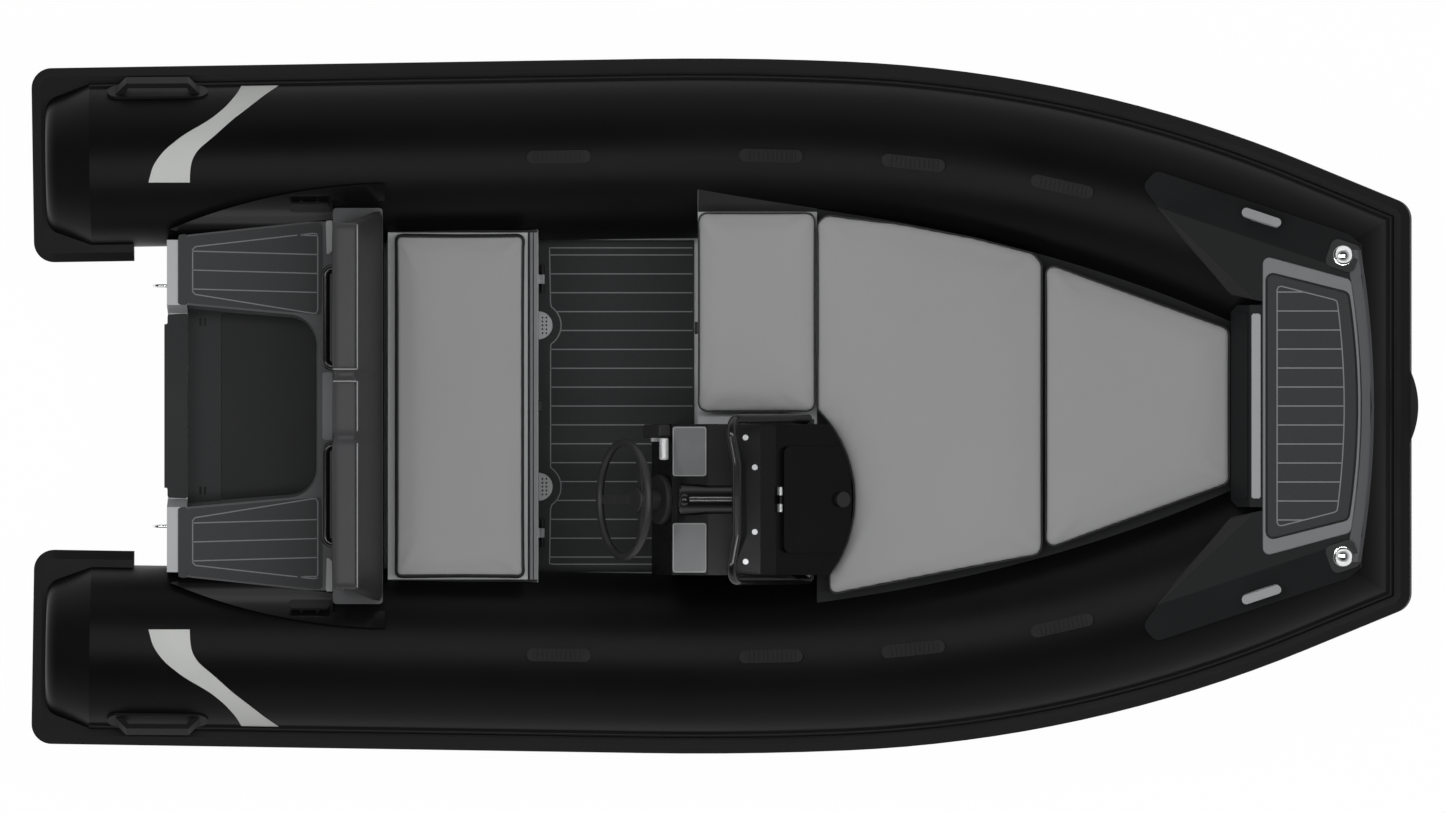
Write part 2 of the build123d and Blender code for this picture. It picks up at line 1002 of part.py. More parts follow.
def bench_hinges():
    sets = []
    for side in (-1, 1):
        y = side * door_hinge_half
        pieces = [rod(
            (door_hinge_x, y - door_hinge_width / 2, hinge_height()),
            (door_hinge_x, y + door_hinge_width / 2, hinge_height()),
            door_pin_diameter,
        )]
        for end in (-1, 1):
            inner = y + end * (door_hinge_width / 6 + 1)
            outer = y + end * door_hinge_width / 2
            low, high = min(inner, outer), max(inner, outer)
            radius = door_hinge_diameter / 2
            pieces.append(rod(
                (door_hinge_x, low, hinge_height()),
                (door_hinge_x, high, hinge_height()),
                door_hinge_diameter,
            ))
            pieces.append(box_between(
                door_hinge_x - radius, door_hinge_x + radius,
                low, high, mat_top, hinge_height(),
            ))
        sets.append(joined(pieces))
    return solids_of(sets)


def bench_latch():
    top = door_top - 12
    plate = box_between(
        bench_front_x, bench_front_x + latch_thickness,
        -latch_width / 2, latch_width / 2, top - latch_height, top,
    )
    return fillet(plate.edges().filter_by(Axis.X), 5)


def bench_cushion():
    plan = rounded(mirrored_points([
        (bench_cushion_aft_x, bench_cushion_half),
        (bench_cushion_front_x, bench_cushion_half),
    ]), bench_cushion_corner)
    return slab(plan, seat_base, bench_cushion_top)


# Floor
def floor_deck():
    plate = box_between(
        aft_deck_front_x, locker_bulkhead_x, -bench_rim_half - 120, bench_rim_half + 120,
        hull_top, floor_top,
    )
    return between_tubes(plate)


def floor_mat():
    plan = face_of([
        (bench_front_x, -mat_half), (bench_front_x, mat_half),
        (side_seat_aft_x - side_rim, mat_half),
        (side_seat_aft_x - side_rim, console_side(1) + seat_gap),
        (console_aft_x - 1, console_side(1) + seat_gap),
        (console_aft_x - 1, -mat_half),
    ])
    mat = slab(plan, floor_top, mat_top)
    for side in (-1, 1):
        mat = mat - slab(Pos(bench_front_x, side * drain_half) * Circle(drain_radius), 0, mat_top)
    return mat


def floor_drains():
    grid = 11
    disc = Circle(drain_radius - seat_gap)
    half = disc & Pos(drain_radius / 2, 0) * Rectangle(drain_radius, 2 * drain_radius)
    holes = []
    for row in (1, 2):
        for column in range(-2, 3):
            holes.append(Pos(grid * row, grid * column) * Circle(3))
    plate = half - holes
    drain = slab(Pos(bench_front_x, drain_half) * plate, floor_top, floor_top + drain_thickness)
    return pair(drain)


# Lockers and cushions forward
def side_locker():
    block = box_between(
        side_seat_aft_x - side_rim / 3, side_locker_front_x,
        console_side(1) + seat_gap, stern_half_width, floor_top, locker_top,
    )
    return between_tubes(block)


def side_seat():
    plan = rounded([
        (side_seat_aft_x, side_seat_inner), (side_seat_aft_x, side_seat_outer),
        (side_locker_front_x - 5, side_seat_outer), (side_locker_front_x - 5, side_seat_inner),
    ], cushion_corner)
    return beside_tubes(slab(plan, locker_top, locker_top + pad_thickness))


def side_latch():
    x = side_seat_aft_x - side_rim / 3
    plate = box_between(
        x - latch_thickness, x, 221 - latch_width / 2, 221 + latch_width / 2,
        locker_top - 12 - latch_height, locker_top - 12,
    )
    return fillet(plate.edges().filter_by(Axis.X), 5)


def bow_locker():
    profile = [
        (side_locker_front_x, floor_top),
        (locker_bulkhead_x, floor_top),
        (locker_bulkhead_x, locker_step),
        (bow_locker_front_x, locker_step),
        (bow_locker_front_x, locker_top),
        (side_locker_front_x, locker_top),
    ]
    return between_tubes(side_profile(profile, -stern_half_width, stern_half_width))


def sundeck_cushion():
    centre_x, centre_y = sundeck_arc_centre
    port_y = math.sqrt(sundeck_arc_radius ** 2 - (sundeck_aft_x - centre_x) ** 2)
    arc_start = (sundeck_aft_x, centre_y + port_y)
    arc_middle = (centre_x + sundeck_arc_radius, centre_y)
    reach = sundeck_starboard[-1][0] + 3
    starboard_y = math.sqrt(sundeck_arc_radius ** 2 - (reach - centre_x) ** 2)
    arc_end = (reach, centre_y - starboard_y)
    edge = [
        Polyline(
            arc_start, (sundeck_aft_x, sundeck_outline[0][1]), *sundeck_outline,
            (sundeck_front_x, sundeck_outline[-1][1] - 30),
            (sundeck_front_x, sundeck_starboard[0][1] + 30),
            *sundeck_starboard, (reach, arc_end[1] - 20), arc_end,
        ),
        ThreePointArc(arc_end, arc_middle, arc_start),
    ]
    plan = make_face(Wire([e for part in edge for e in part.edges()]))
    return beside_tubes(slab(plan, locker_top, locker_top + pad_thickness))


def bow_cushion():
    plan = rounded(mirrored_points([
        (bow_cushion_aft_x, bow_cushion_aft_half),
        (bow_cushion_front_x, bow_cushion_front_half),
    ]), cushion_corner)
    return beside_tubes(slab(plan, locker_top, locker_top + pad_thickness))


# Console
def console_outline():
    # x and z round the side of the console, from its aft foot
    return [
        (console_aft_x, floor_top),
        (console_aft_x, console_foot_height),
        (console_lip_x, console_lip_height - 20),
        (console_lip_x, console_lip_height),
        (console_aft_x, console_face_top),
        (console_dash_x, console_dash_top),
        (console_brow_x, console_dash_top),
        (console_slope_x, console_slope_top),
        (console_nose_x, console_nose_top),
        (console_nose_x, locker_top),
        (side_locker_front_x - seat_gap, locker_top),
        (side_locker_front_x - seat_gap, floor_top),
    ]


def console_side(point):
    return console_centre + point * console_half


def slope_angle():
    return math.atan2(console_slope_top - console_nose_top, console_nose_x - console_slope_x)


def slope_plane():
    # on the slope in front of the windshield: own x down the slope, own y to port
    angle = slope_angle()
    return Plane(
        origin=(console_slope_x, console_centre, console_slope_top),
        x_dir=(math.cos(angle), 0, -math.sin(angle)),
        z_dir=(math.sin(angle), 0, math.cos(angle)),
    )


def slope_length():
    return math.hypot(console_nose_x - console_slope_x, console_slope_top - console_nose_top)


def console():
    body = side_profile(console_outline(), console_side(-1), console_side(1))
    nose = Pos(sundeck_arc_centre[0], sundeck_arc_centre[1]) * Circle(
        sundeck_arc_radius - seat_gap * 4
    )
    body = body & slab(nose, 0, console_dash_top + 10)
    room = box_between(
        console_slope_x + locker_well_margin, side_locker_front_x - console_wall,
        console_centre - lid_half + locker_well_margin,
        console_centre + lid_half - locker_well_margin,
        locker_well_bottom, console_slope_top,
    )
    forward = box_between(
        side_locker_front_x - console_wall - 1, console_nose_x - 2 * console_wall - 10,
        console_centre - lid_half + locker_well_margin,
        console_centre + lid_half - locker_well_margin,
        locker_top + console_wall, console_slope_top,
    )
    return beside_tubes(body - room - forward)


def dash_panels():
    rise = math.atan2(console_dash_top - console_face_top, console_dash_x - console_aft_x)
    plane = Plane(
        origin=(console_aft_x, console_centre, console_face_top),
        x_dir=(math.cos(rise), 0, math.sin(rise)),
        z_dir=(-math.sin(rise), 0, math.cos(rise)),
    )
    length = math.hypot(console_dash_top - console_face_top, console_dash_x - console_aft_x)
    panels = []
    for side in (-1, 1):
        shape = Pos(length / 2, side * dash_panel_offset) * RectangleRounded(
            length - 8, 2 * dash_panel_half, 6
        )
        panels.append(plane * extrude(shape, dash_panel_thickness))
    return solids_of(panels)


def lid_hinge_spot():
    # hinge line, above the slope's upper edge
    return slope_plane().from_local_coords((lid_hinge_lead, 0, lid_thickness / 2 + seat_gap))


def console_hatch():
    length = slope_length()
    start = lid_hinge_lead + lid_hinge_diameter / 2 + 2
    shape = RectangleRounded(length - start - lid_margin, 2 * lid_half, 20)
    shape = Pos((length + start - lid_margin) / 2, 0, seat_gap) * shape
    lid = slope_plane() * extrude(shape, lid_thickness)
    nose = Pos(sundeck_arc_centre[0], sundeck_arc_centre[1]) * Circle(
        sundeck_arc_radius - seat_gap * 4 - lid_margin
    )
    lid = lid & slab(nose, 0, console_dash_top + 60)
    middle = lid_hinge_spot()
    knuckle = rod(
        (middle.X, middle.Y - lid_hinge_width / 6, middle.Z),
        (middle.X, middle.Y + lid_hinge_width / 6, middle.Z),
        lid_hinge_diameter,
    )
    tongue = slope_plane() * extrude(
        Pos((lid_hinge_lead + start + 8) / 2, 0, lid_thickness / 2 - 1)
        * Rectangle(start + 8 - lid_hinge_lead, lid_hinge_width / 3), 3
    )
    bore = rod(
        (middle.X, middle.Y - lid_hinge_width, middle.Z),
        (middle.X, middle.Y + lid_hinge_width, middle.Z),
        lid_hinge_diameter / 2 + 2 * seat_gap,
    )
    return lid + knuckle + tongue - bore


def hatch_hinge():
    middle = lid_hinge_spot()
    pieces = [rod(
        (middle.X, middle.Y - lid_hinge_width / 2, middle.Z),
        (middle.X, middle.Y + lid_hinge_width / 2, middle.Z),
        lid_hinge_diameter / 2,
    )]
    for end in (-1, 1):
        inner = middle.Y + end * (lid_hinge_width / 6 + 1)
        outer = middle.Y + end * lid_hinge_width / 2
        low, high = min(inner, outer), max(inner, outer)
        pieces.append(rod(
            (middle.X, low, middle.Z), (middle.X, high, middle.Z), lid_hinge_diameter
        ))
        shape = Pos(lid_hinge_lead, (low + high) / 2 - console_centre) * Rectangle(
            lid_hinge_diameter - 2, high - low
        )
        pieces.append(slope_plane() * extrude(shape, lid_thickness / 2))
    return joined(pieces)


def hatch_knob():
    length = slope_length()
    spot = Pos(length - lid_knob_diameter / 2 - 18, 0, lid_thickness + seat_gap)
    knob = slope_plane() * (spot * extrude(Circle(lid_knob_diameter / 2), lid_knob_height))
    return knob


# Steering
def wheel_axis():
    angle = math.radians(wheel_tilt)
    return Vector(-math.cos(angle), 0, math.sin(angle))


def helm_spot():
    # middle of the leaning face between the lip and the dash
    return Vector(
        (console_lip_x + console_aft_x) / 2, console_centre,
        (console_lip_height + console_face_top) / 2,
    )


def wheel_plane():
    # own z along the steering axis towards the helmsman, own x up
    angle = math.radians(wheel_tilt)
    return Plane(
        origin=helm_spot() + wheel_axis() * wheel_reach,
        x_dir=(math.sin(angle), 0, math.cos(angle)),
        z_dir=wheel_axis(),
    )


def steering_wheel():
    plane = wheel_plane()
    ring = wheel_diameter / 2 - wheel_rim / 2
    rim = revolve(Plane.XZ * Pos(ring, 0) * Circle(wheel_rim / 2), Axis.Z)
    hub = slab(Circle(wheel_hub_diameter / 2), -wheel_dish - wheel_hub_thickness / 2,
               -wheel_dish + wheel_hub_thickness / 2)
    hub = fillet(hub.edges().group_by(Axis.Z)[-1], 5)
    pieces = [rim, hub]
    for angle in wheel_spoke_angles:
        inner = wheel_hub_diameter / 2 - 8
        half = wheel_spoke_thickness / 2
        profile = [
            (inner, -wheel_dish - half), (inner, -wheel_dish + half),
            (ring * 0.62, -wheel_dish * 0.55 + half), (ring, half),
            (ring, -half), (ring * 0.62, -wheel_dish * 0.55 - half),
        ]
        spoke = side_profile(profile, -wheel_spoke_width / 2, wheel_spoke_width / 2)
        pieces.append(Rot(0, 0, angle) * spoke)
    boss_end = -wheel_reach + helm_thickness + helm_neck_length + 2
    boss = slab(Circle(shaft_diameter / 2), boss_end, -wheel_dish)
    return plane * joined(pieces + [boss])


def helm():
    spot = helm_spot()
    plane = Plane(origin=spot, x_dir=wheel_plane().x_dir, z_dir=wheel_axis())
    disc = extrude(Circle(helm_diameter / 2), helm_thickness)
    disc = fillet(disc.edges().group_by(Axis.Z)[-1], 8)
    neck = slab(Circle(helm_neck_diameter / 2), helm_thickness, helm_thickness + helm_neck_length)
    return plane * (disc + neck)


def throttle_frame():
    # on the console's leaning face: own x up the face, own y to port
    return Plane(
        origin=helm_spot() + Vector(0, throttle_y - console_centre, 0),
        x_dir=wheel_plane().x_dir, z_dir=wheel_axis(),
    )


def throttle():
    base = Box(
        throttle_base_length, throttle_base_width, throttle_base_height,
        align=(Align.CENTER, Align.CENTER, Align.MIN),
    )
    base = fillet(base.edges().filter_by(Axis.Z), throttle_base_corner)
    base = fillet(base.edges().group_by(Axis.Z)[-1], throttle_base_corner / 2)
    return throttle_frame() * base


def throttle_lever():
    # hub, arm and grip beside the base, on its starboard side
    side = -throttle_base_width / 2 - seat_gap
    middle = throttle_base_height / 2
    hub = Pos(0, side, middle) * (Plane.XZ * Circle(throttle_hub_diameter / 2))
    hub = extrude(hub, throttle_hub_thickness, dir=(0, -1, 0))
    half = throttle_lever_width / 2
    top_z = middle + throttle_lever_lean
    arm = side_profile([
        (0, middle - half), (throttle_lever_rise, top_z - half * 0.7),
        (throttle_lever_rise, top_z + half * 0.7), (0, middle + half),
    ], side - throttle_hub_thickness, side)
    grip = rod(
        (throttle_lever_rise, side, top_z),
        (throttle_lever_rise, side - throttle_grip_width, top_z), throttle_grip_diameter,
    )
    grip = fillet(grip.edges(), throttle_grip_diameter / 5)
    return throttle_frame() * joined([hub, arm, grip])


# Windshield
def rail_path():
    return FilletPolyline(
        (rail_foot_x, console_centre + rail_half, rail_foot_height),
        (rail_back_x, console_centre + rail_half, rail_top),
        (rail_front_x, console_centre + rail_kink_half, rail_top),
        (rail_front_x, console_centre - rail_kink_half, rail_top),
        (rail_back_x, console_centre - rail_half, rail_top),
        (rail_foot_x, console_centre - rail_half, rail_foot_height),
        radius=rail_bend,
    )


def windshield_rail():
    path = rail_path()
    start = Plane(origin=path @ 0, z_dir=path % 0)
    rail = sweep(start * Circle(rail_diameter / 2), path=path)
    for side in (-1, 1):
        rail = rail + rod(
            (rail_foot_x, console_side(side) + side * seat_gap, rail_foot_height),
            (rail_foot_x, console_centre + side * rail_half, rail_foot_height),
            rail_foot_diameter,
        )
    return rail


def screen_plan(extra=0):
    outer = [
        (screen_back_x - extra / 2, console_centre + screen_half + extra / 2),
        (screen_front_x + extra, console_centre + screen_kink_half),
        (screen_front_x + extra, console_centre - screen_kink_half),
        (screen_back_x - extra / 2, console_centre - screen_half - extra / 2),
    ]
    inner = [(x - screen_thickness - extra, y) for x, y in reversed(outer)]
    return face_of(outer + inner)


def windshield():
    return slab(screen_plan(), console_dash_top, console_dash_top + screen_height)


def windshield_studs():
    # two on the screen's flange, one at each of its ends
    spots = (
        (screen_front_x + screen_flange, screen_kink_half - 10),
        (screen_back_x + screen_flange, screen_half + 10),
    )
    studs = []
    for x, half in spots:
        for side in (-1, 1):
            y = console_centre + side * half
            bottom = console_dash_top
            studs.append(upright(x, y, bottom, bottom + stud_height, stud_diameter))
    return solids_of(studs)


# Bow step
def step_top_height():
    return tube_radius + step_lift


def on_bow(x, height):
    # a plan x, seen from above, on the raised plane that far above the tubes' centrelines
    return (x - knee_x + height * rise_sin) / rise_cos


def bow_edge_heading():
    (x0, y0), (x1, y1) = step_outline[:2]
    return math.degrees(math.atan2(y1 - y0, x1 - x0))


def pitched_plan(points, height):
    return [(on_bow(x, height), y) for x, y in points]


def pitched_slab(face, bottom, top):
    return pitched * slab(face, bottom, top)


def bow_step():
    top = step_top_height()
    outer = list(step_outline)
    inner = list(step_inner)
    half = [(bow_step_front_x, 0)] + outer[::-1] + inner
    plan = pitched_plan(mirrored_points(half), top)
    tips = pitched_plan([outer[0], inner[0]], top)
    tips = tips + [(x, -y) for x, y in tips]
    body = pitched_slab(rounded(plan, step_tip_corner, tips), 0, top)
    floor = box_between(
        step_inner[0][0] - 200, bow_step_front_x + 200,
        -stern_half_width, stern_half_width, step_skirt_bottom, 2 * step_skirt_bottom,
    )
    body = body & floor
    for piece in both_sides(wing_slope()):
        body = body - piece
    body = beside_tubes(body)
    return biggest(body)


def biggest(piece):
    return max(piece.solids(), key=lambda solid: solid.volume)


def wing_slope():
    # wedge taken off the wing's top, from the platform's edge down to the outer edge
    top = step_top_height()
    (x0, y0), (x1, y1) = step_outline[:2]
    heading = bow_edge_heading()
    start = (on_bow(x0, top), y0)
    run = math.hypot(x1 - x0, y1 - y0)
    section = face_of([
        (0, top - step_edge_drop), (-wing_width, top), (-wing_width, top + overrun),
        (overrun, top + overrun), (overrun, top - step_edge_drop),
    ])
    frame = section_plane(pitched, step_ahead(start, heading, -200), heading)
    return extrude(frame * section, run + 500, dir=along(pitched, heading))


def wing_frame(x, half):
    # on the port wing's slope at that spot: own x along its outer edge, own z out of it
    top = step_top_height()
    heading = bow_edge_heading()
    edge = (on_bow(step_outline[0][0], top), step_outline[0][1])
    spot = (on_bow(x, top), half)
    left = direction(heading + 90)
    inboard = (edge[0] - spot[0]) * left[0] + (edge[1] - spot[1]) * left[1]
    height = top - step_edge_drop * (1 - inboard / wing_width)
    lean = math.atan2(step_edge_drop, wing_width)
    outward = pitched.z_dir * math.cos(lean) + along(pitched, heading + 90) * math.sin(lean)
    return Plane(
        origin=world(pitched, spot, height + seat_gap),
        x_dir=along(pitched, heading), z_dir=outward,
    )


def bow_platform():
    top = step_top_height()
    half = [
        (riser_top_x + 1, platform_half_aft),
        (platform_front_x, platform_half_front),
    ]
    plan = pitched_plan(mirrored_points(half), top)
    return pitched_slab(rounded(plan, bow_mat_corner), top, top + platform_thickness)


def bow_step_mat():
    top = step_top_height() + platform_thickness
    half = [
        (bow_mat_aft_x, bow_mat_half_aft),
        (bow_mat_front_x, bow_mat_half_front),
    ]
    plan = pitched_plan(mirrored_points(half), top)
    return pitched_slab(rounded(plan, bow_mat_corner), top, top + mat_thickness)


def riser_top():
    # level with the bow step's own top, where the riser's ledge begins
    ahead = riser_top_x - riser_ledge - knee_x
    return collar_height + ahead * rise_sin / rise_cos + step_top_height() / rise_cos


def bow_riser():
    # its back is straight facets that stand clear of the bow tube
    centre_z = tube_height(bow_x)
    reach = tube_radius + riser_tube_gap
    lowest = math.asin((locker_top - centre_z) / reach)
    highest = math.acos((bow_x - riser_top_x) / reach)
    angles = [lowest + (highest - lowest) * number / 3 for number in range(4)]
    profile = [(bow_x - reach * math.cos(a), centre_z + reach * math.sin(a)) for a in angles]
    profile = profile + [
        (riser_top_x, riser_top()),
        (riser_top_x - riser_ledge, riser_top()),
        (bow_locker_front_x, locker_top + pad_thickness),
        (bow_locker_front_x, locker_top),
    ]
    body = side_profile(profile, -riser_half, riser_half)
    half = [(0, locker_top), *riser_ends, (riser_half, riser_top())]
    ends = extrude(cross_section(bow_locker_front_x, half), 2 * tube_radius, dir=(1, 0, 0))
    return body & ends


def riser_panel():
    run = riser_top_x - riser_ledge - bow_locker_front_x
    rise = riser_top() - locker_top - pad_thickness
    angle = math.atan2(rise, run)
    plane = Plane(
        origin=(bow_locker_front_x, 0, locker_top + pad_thickness),
        x_dir=(math.cos(angle), 0, math.sin(angle)),
        z_dir=(-math.sin(angle), 0, math.cos(angle)),
    )
    length = math.hypot(run, rise)
    shape = Pos(length * 0.55, 0) * RectangleRounded(length * 0.7, 2 * riser_panel_half, 8)
    return plane * extrude(shape, riser_panel_thickness)


def bow_lamps():
    foot = slab(RectangleRounded(lamp_base_length, lamp_base_width, 20), 0, lamp_base_height)
    dome = Pos(0, 0, lamp_base_height) * Sphere(lamp_diameter / 2)
    dome = dome & slab(Circle(lamp_diameter), lamp_base_height, lamp_base_height + lamp_diameter)
    return pair(wing_frame(lamp_x, lamp_half) * (foot + dome))


# Handles on the tubes
def strap_frame(x):
    # on top of the port tube: own x along the tube, own z up
    centre = tube_half_width(x)
    ahead = Vector(2, tube_half_width(x + 1) - tube_half_width(x - 1),
                   tube_height(x + 1) - tube_height(x - 1)).normalized()
    side = Vector(0, 0, 1).cross(ahead).normalized()
    up = ahead.cross(side)
    return Plane(origin=Vector(x, centre, tube_height(x)), x_dir=ahead, z_dir=up)


def tube_handles():
    handles = []
    for x in strap_spots:
        base = extrude(SlotOverall(strap_length, strap_width), strap_lift + 6)
        base = Pos(0, 0, tube_radius - 6) * base
        ribs = []
        pitch = (strap_length - strap_width) / strap_rib_count
        for number in range(strap_rib_count):
            offset = (number - (strap_rib_count - 1) / 2) * pitch
            ribs.append(Pos(offset, 0, tube_radius + strap_lift + strap_rib / 2) * Box(
                pitch / 2, strap_width - 8, strap_rib
            ))
        handle = strap_frame(x) * joined([base] + ribs)
        handles.append(handle - side_cut_port)
    return pair(solids_of(handles))


def carry_handles():
    # own x along the tube, own z straight out from it
    centre = tube_half_width(carry_x)
    lean = math.radians(90 - carry_angle - 20)
    outward = Vector(0, math.sin(lean), math.cos(lean))
    ahead = Vector(1, math.tan(math.radians(side_heading)), 0).normalized()
    frame = Plane(origin=Vector(carry_x, centre, collar_height), x_dir=ahead, z_dir=outward)
    half = carry_length / 2
    base = Pos(0, 0, tube_radius - 8) * extrude(
        SlotOverall(carry_length, carry_width), carry_base_thickness + 8
    )
    low, high = tube_radius + 2, tube_radius + carry_rise
    grip = face_of([
        (-half + 20, low), (-half + 55, high), (half - 55, high), (half - 20, low),
        (half - 20 - carry_grip * 1.6, low), (half - 60, high - carry_grip),
        (-half + 60, high - carry_grip), (-half + 20 + carry_grip * 1.6, low),
    ])
    bar = extrude(Plane.XZ * grip, carry_width * 0.3, both=True)
    handle = frame * (base + bar)
    return both_sides(handle - side_cut_port)


def bow_handle():
    outer = on_bow(bow_x, 0) + tube_radius + strake_depth + seat_gap
    body = Pos(outer, 0, -bow_handle_height / 2) * extrude(
        Pos(bow_handle_depth / 2, 0) * RectangleRounded(
            bow_handle_depth, 2 * bow_handle_half, bow_handle_depth / 2 - 1
        ), bow_handle_height
    )
    return pitched * body


def build():
    tube_port, tube_starboard = both_sides(side_tube(tube_radius))
    strake_port, strake_starboard = both_sides(strake_side())
    carry_port, carry_starboard = carry_handles()
    hull_solid = hull()
    return {
        "hull": hull_solid,
        "keel_guard": keel_guard(hull_solid),
        "transom": transom(),
        "transom_pad": transom_pad(),
        "towing_eyes": towing_eyes(),
        "tube_port": tube_port,
        "tube_starboard": tube_starboard,
        "tube_bow": bow_tube(tube_radius),
        "stern_cones": pair(stern_cone(tube_radius, cone_length)),
        "rub_strake_port": strake_port,
        "rub_strake_starboard": strake_starboard,
        "rub_strake_bow": strake_bow(),
        "tube_handles": tube_handles(),
        "carry_handle_port": carry_port,
        "carry_handle_starboard": carry_starboard,
        "bow_handle": bow_handle(),
        "aft_deck": aft_deck(),
        "aft_mats": aft_mats(),
        "fairings": fairings(),
        "cleats": cleats(),
        "backrest_plinth": backrest_plinth(),
        "backrest": backrest(),
        "backrest_rails": backrest_rails(),
        "bench_locker": bench_locker(),
        "bench_door": bench_door(),
        "bench_hinges": bench_hinges(),
        "bench_latch": bench_latch(),
        "bench_cushion": bench_cushion(),
        "floor_deck": floor_deck(),
        "floor_mat": floor_mat(),
        "floor_drains": floor_drains(),
        "side_locker": side_locker(),
        "side_seat": side_seat(),
        "side_latch": side_latch(),
        "bow_locker": bow_locker(),
        "sundeck_cushion": sundeck_cushion(),
        "bow_cushion": bow_cushion(),
        "console": console(),
        "dash_panels": dash_panels(),
        "helm": helm(),
        "steering_wheel": steering_wheel(),
        "throttle": throttle(),
        "throttle_lever": throttle_lever(),
        "windshield": windshield(),
        "windshield_rail": windshield_rail(),
        "windshield_studs": windshield_studs(),
        "console_hatch": console_hatch(),
        "hatch_hinge": hatch_hinge(),
        "hatch_knob": hatch_knob(),
        "bow_riser": bow_riser(),
        "riser_panel": riser_panel(),
        "bow_step": bow_step(),
        "bow_platform": bow_platform(),
        "bow_step_mat": bow_step_mat(),
        "bow_lamps": bow_lamps(),
    }


for name, shape in build().items():
    export_step(shape, f"parts/{name}.step")
    print(name, len(shape.solids()), round(shape.volume / 1e6, 3))
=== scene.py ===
import math
import bmesh
import bpy
import numpy as np
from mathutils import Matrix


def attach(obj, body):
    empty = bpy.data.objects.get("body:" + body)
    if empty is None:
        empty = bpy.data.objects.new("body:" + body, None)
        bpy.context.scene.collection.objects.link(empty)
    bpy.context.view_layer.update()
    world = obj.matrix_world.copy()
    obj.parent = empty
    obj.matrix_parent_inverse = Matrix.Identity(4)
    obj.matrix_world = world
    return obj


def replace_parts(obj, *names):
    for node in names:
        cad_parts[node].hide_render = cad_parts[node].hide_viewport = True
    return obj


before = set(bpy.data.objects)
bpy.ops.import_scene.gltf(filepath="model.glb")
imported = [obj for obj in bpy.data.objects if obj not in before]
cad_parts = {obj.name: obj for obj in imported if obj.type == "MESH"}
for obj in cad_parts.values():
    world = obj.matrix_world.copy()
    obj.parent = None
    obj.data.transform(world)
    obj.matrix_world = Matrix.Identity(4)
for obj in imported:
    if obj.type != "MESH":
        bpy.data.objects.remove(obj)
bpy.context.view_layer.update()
print("frame loaded,", len(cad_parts), "solids")

# The boat lies with +X to the bow, +Y to port, +Z up and the water at z = 0.
# Tables and shapes below are in millimetres; addPiece turns them into metres.
perMetre = 1000
tiny = 1e-9


# mesh helpers

def unit(rows):
    # rows divided by their own length
    return rows / np.maximum(np.linalg.norm(rows, axis=-1, keepdims=True), tiny)


def addPiece(name, grids, body="boat", sharp=35.0):
    # each grid is rows x columns x 3; four neighbouring points make a face
    points, faces, start = [], [], 0
    for grid in grids:
        rows, columns = grid.shape[:2]
        index = start + np.arange(rows * columns).reshape(rows, columns)
        quads = np.stack([index[:-1, :-1], index[:-1, 1:], index[1:, 1:], index[1:, :-1]], -1)
        points.append(grid.reshape(-1, 3))
        faces.append(quads.reshape(-1, 4))
        start += rows * columns
    mesh = bpy.data.meshes.new(name)
    mesh.from_pydata((np.concatenate(points) / perMetre).tolist(), [], np.concatenate(faces).tolist())
    tidyMesh(mesh, sharp)
    piece = bpy.data.objects.new(name, mesh)
    bpy.context.scene.collection.objects.link(piece)
    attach(piece, body)
    return piece


def tidyMesh(mesh, sharp, doubles=1e-5, slivers=1e-6):
    # doubles merged, slivers gone, faces outwards; both distances are in metres
    shape = bmesh.new()
    shape.from_mesh(mesh)
    bmesh.ops.remove_doubles(shape, verts=shape.verts, dist=doubles)
    bmesh.ops.dissolve_degenerate(shape, edges=shape.edges, dist=slivers)
    bmesh.ops.recalc_face_normals(shape, faces=shape.faces)
    shape.to_mesh(mesh)
    shape.free()
    mesh.shade_smooth()
    mesh.set_sharp_from_angle(angle=math.radians(sharp))


def oblong(aft, fore, starboard, port):
    return [(aft, starboard), (fore, starboard), (fore, port), (aft, port)]


def roundedLoop(corners, radii, spacing=10.0, arcPoints=9):
    # closed plan loop: each corner is swapped for an arc that touches both its sides,
    # then the loop is cut into equal steps along its length
    corners = np.asarray(corners, float)
    radii = np.broadcast_to(np.asarray(radii, float), len(corners))
    before, after = np.roll(corners, 1, 0), np.roll(corners, -1, 0)
    towards, away = unit(corners - before), unit(after - corners)
    cross = towards[:, 0] * away[:, 1] - towards[:, 1] * away[:, 0]
    turn = np.arctan2(cross, (towards * away).sum(1))
    reach = radii * np.tan(np.abs(turn) / 2)
    start = corners - towards * reach[:, None]
    side = np.stack([-towards[:, 1], towards[:, 0]], 1) * np.sign(turn)[:, None]
    share = np.linspace(0, 1, arcPoints)
    angle = turn[:, None] * share
    ahead = np.sin(np.abs(angle)) * radii[:, None]
    inward = (1 - np.cos(angle)) * radii[:, None]
    arcs = start[:, None] + towards[:, None] * ahead[..., None] + side[:, None] * inward[..., None]
    return evenly(arcs.reshape(-1, 2), spacing, closed=True)


def evenly(line, spacing, closed=False, shortest=1e-6):
    # the same line with its points at equal steps, by straight interpolation on its length
    line = np.asarray(line, float)
    if closed:
        line = np.concatenate([line, line[:1]])
    steps = np.linalg.norm(np.diff(line, axis=0), axis=1)
    real = steps > shortest
    line = line[np.concatenate([[True], real])]
    along = np.concatenate([[0], np.cumsum(steps[real])])
    count = max(4, int(round(along[-1] / spacing))) + 1
    wanted = np.linspace(0, along[-1], count)
    line = np.stack([np.interp(wanted, along, column) for column in line.T], 1)
    return line[:-1] if closed else line


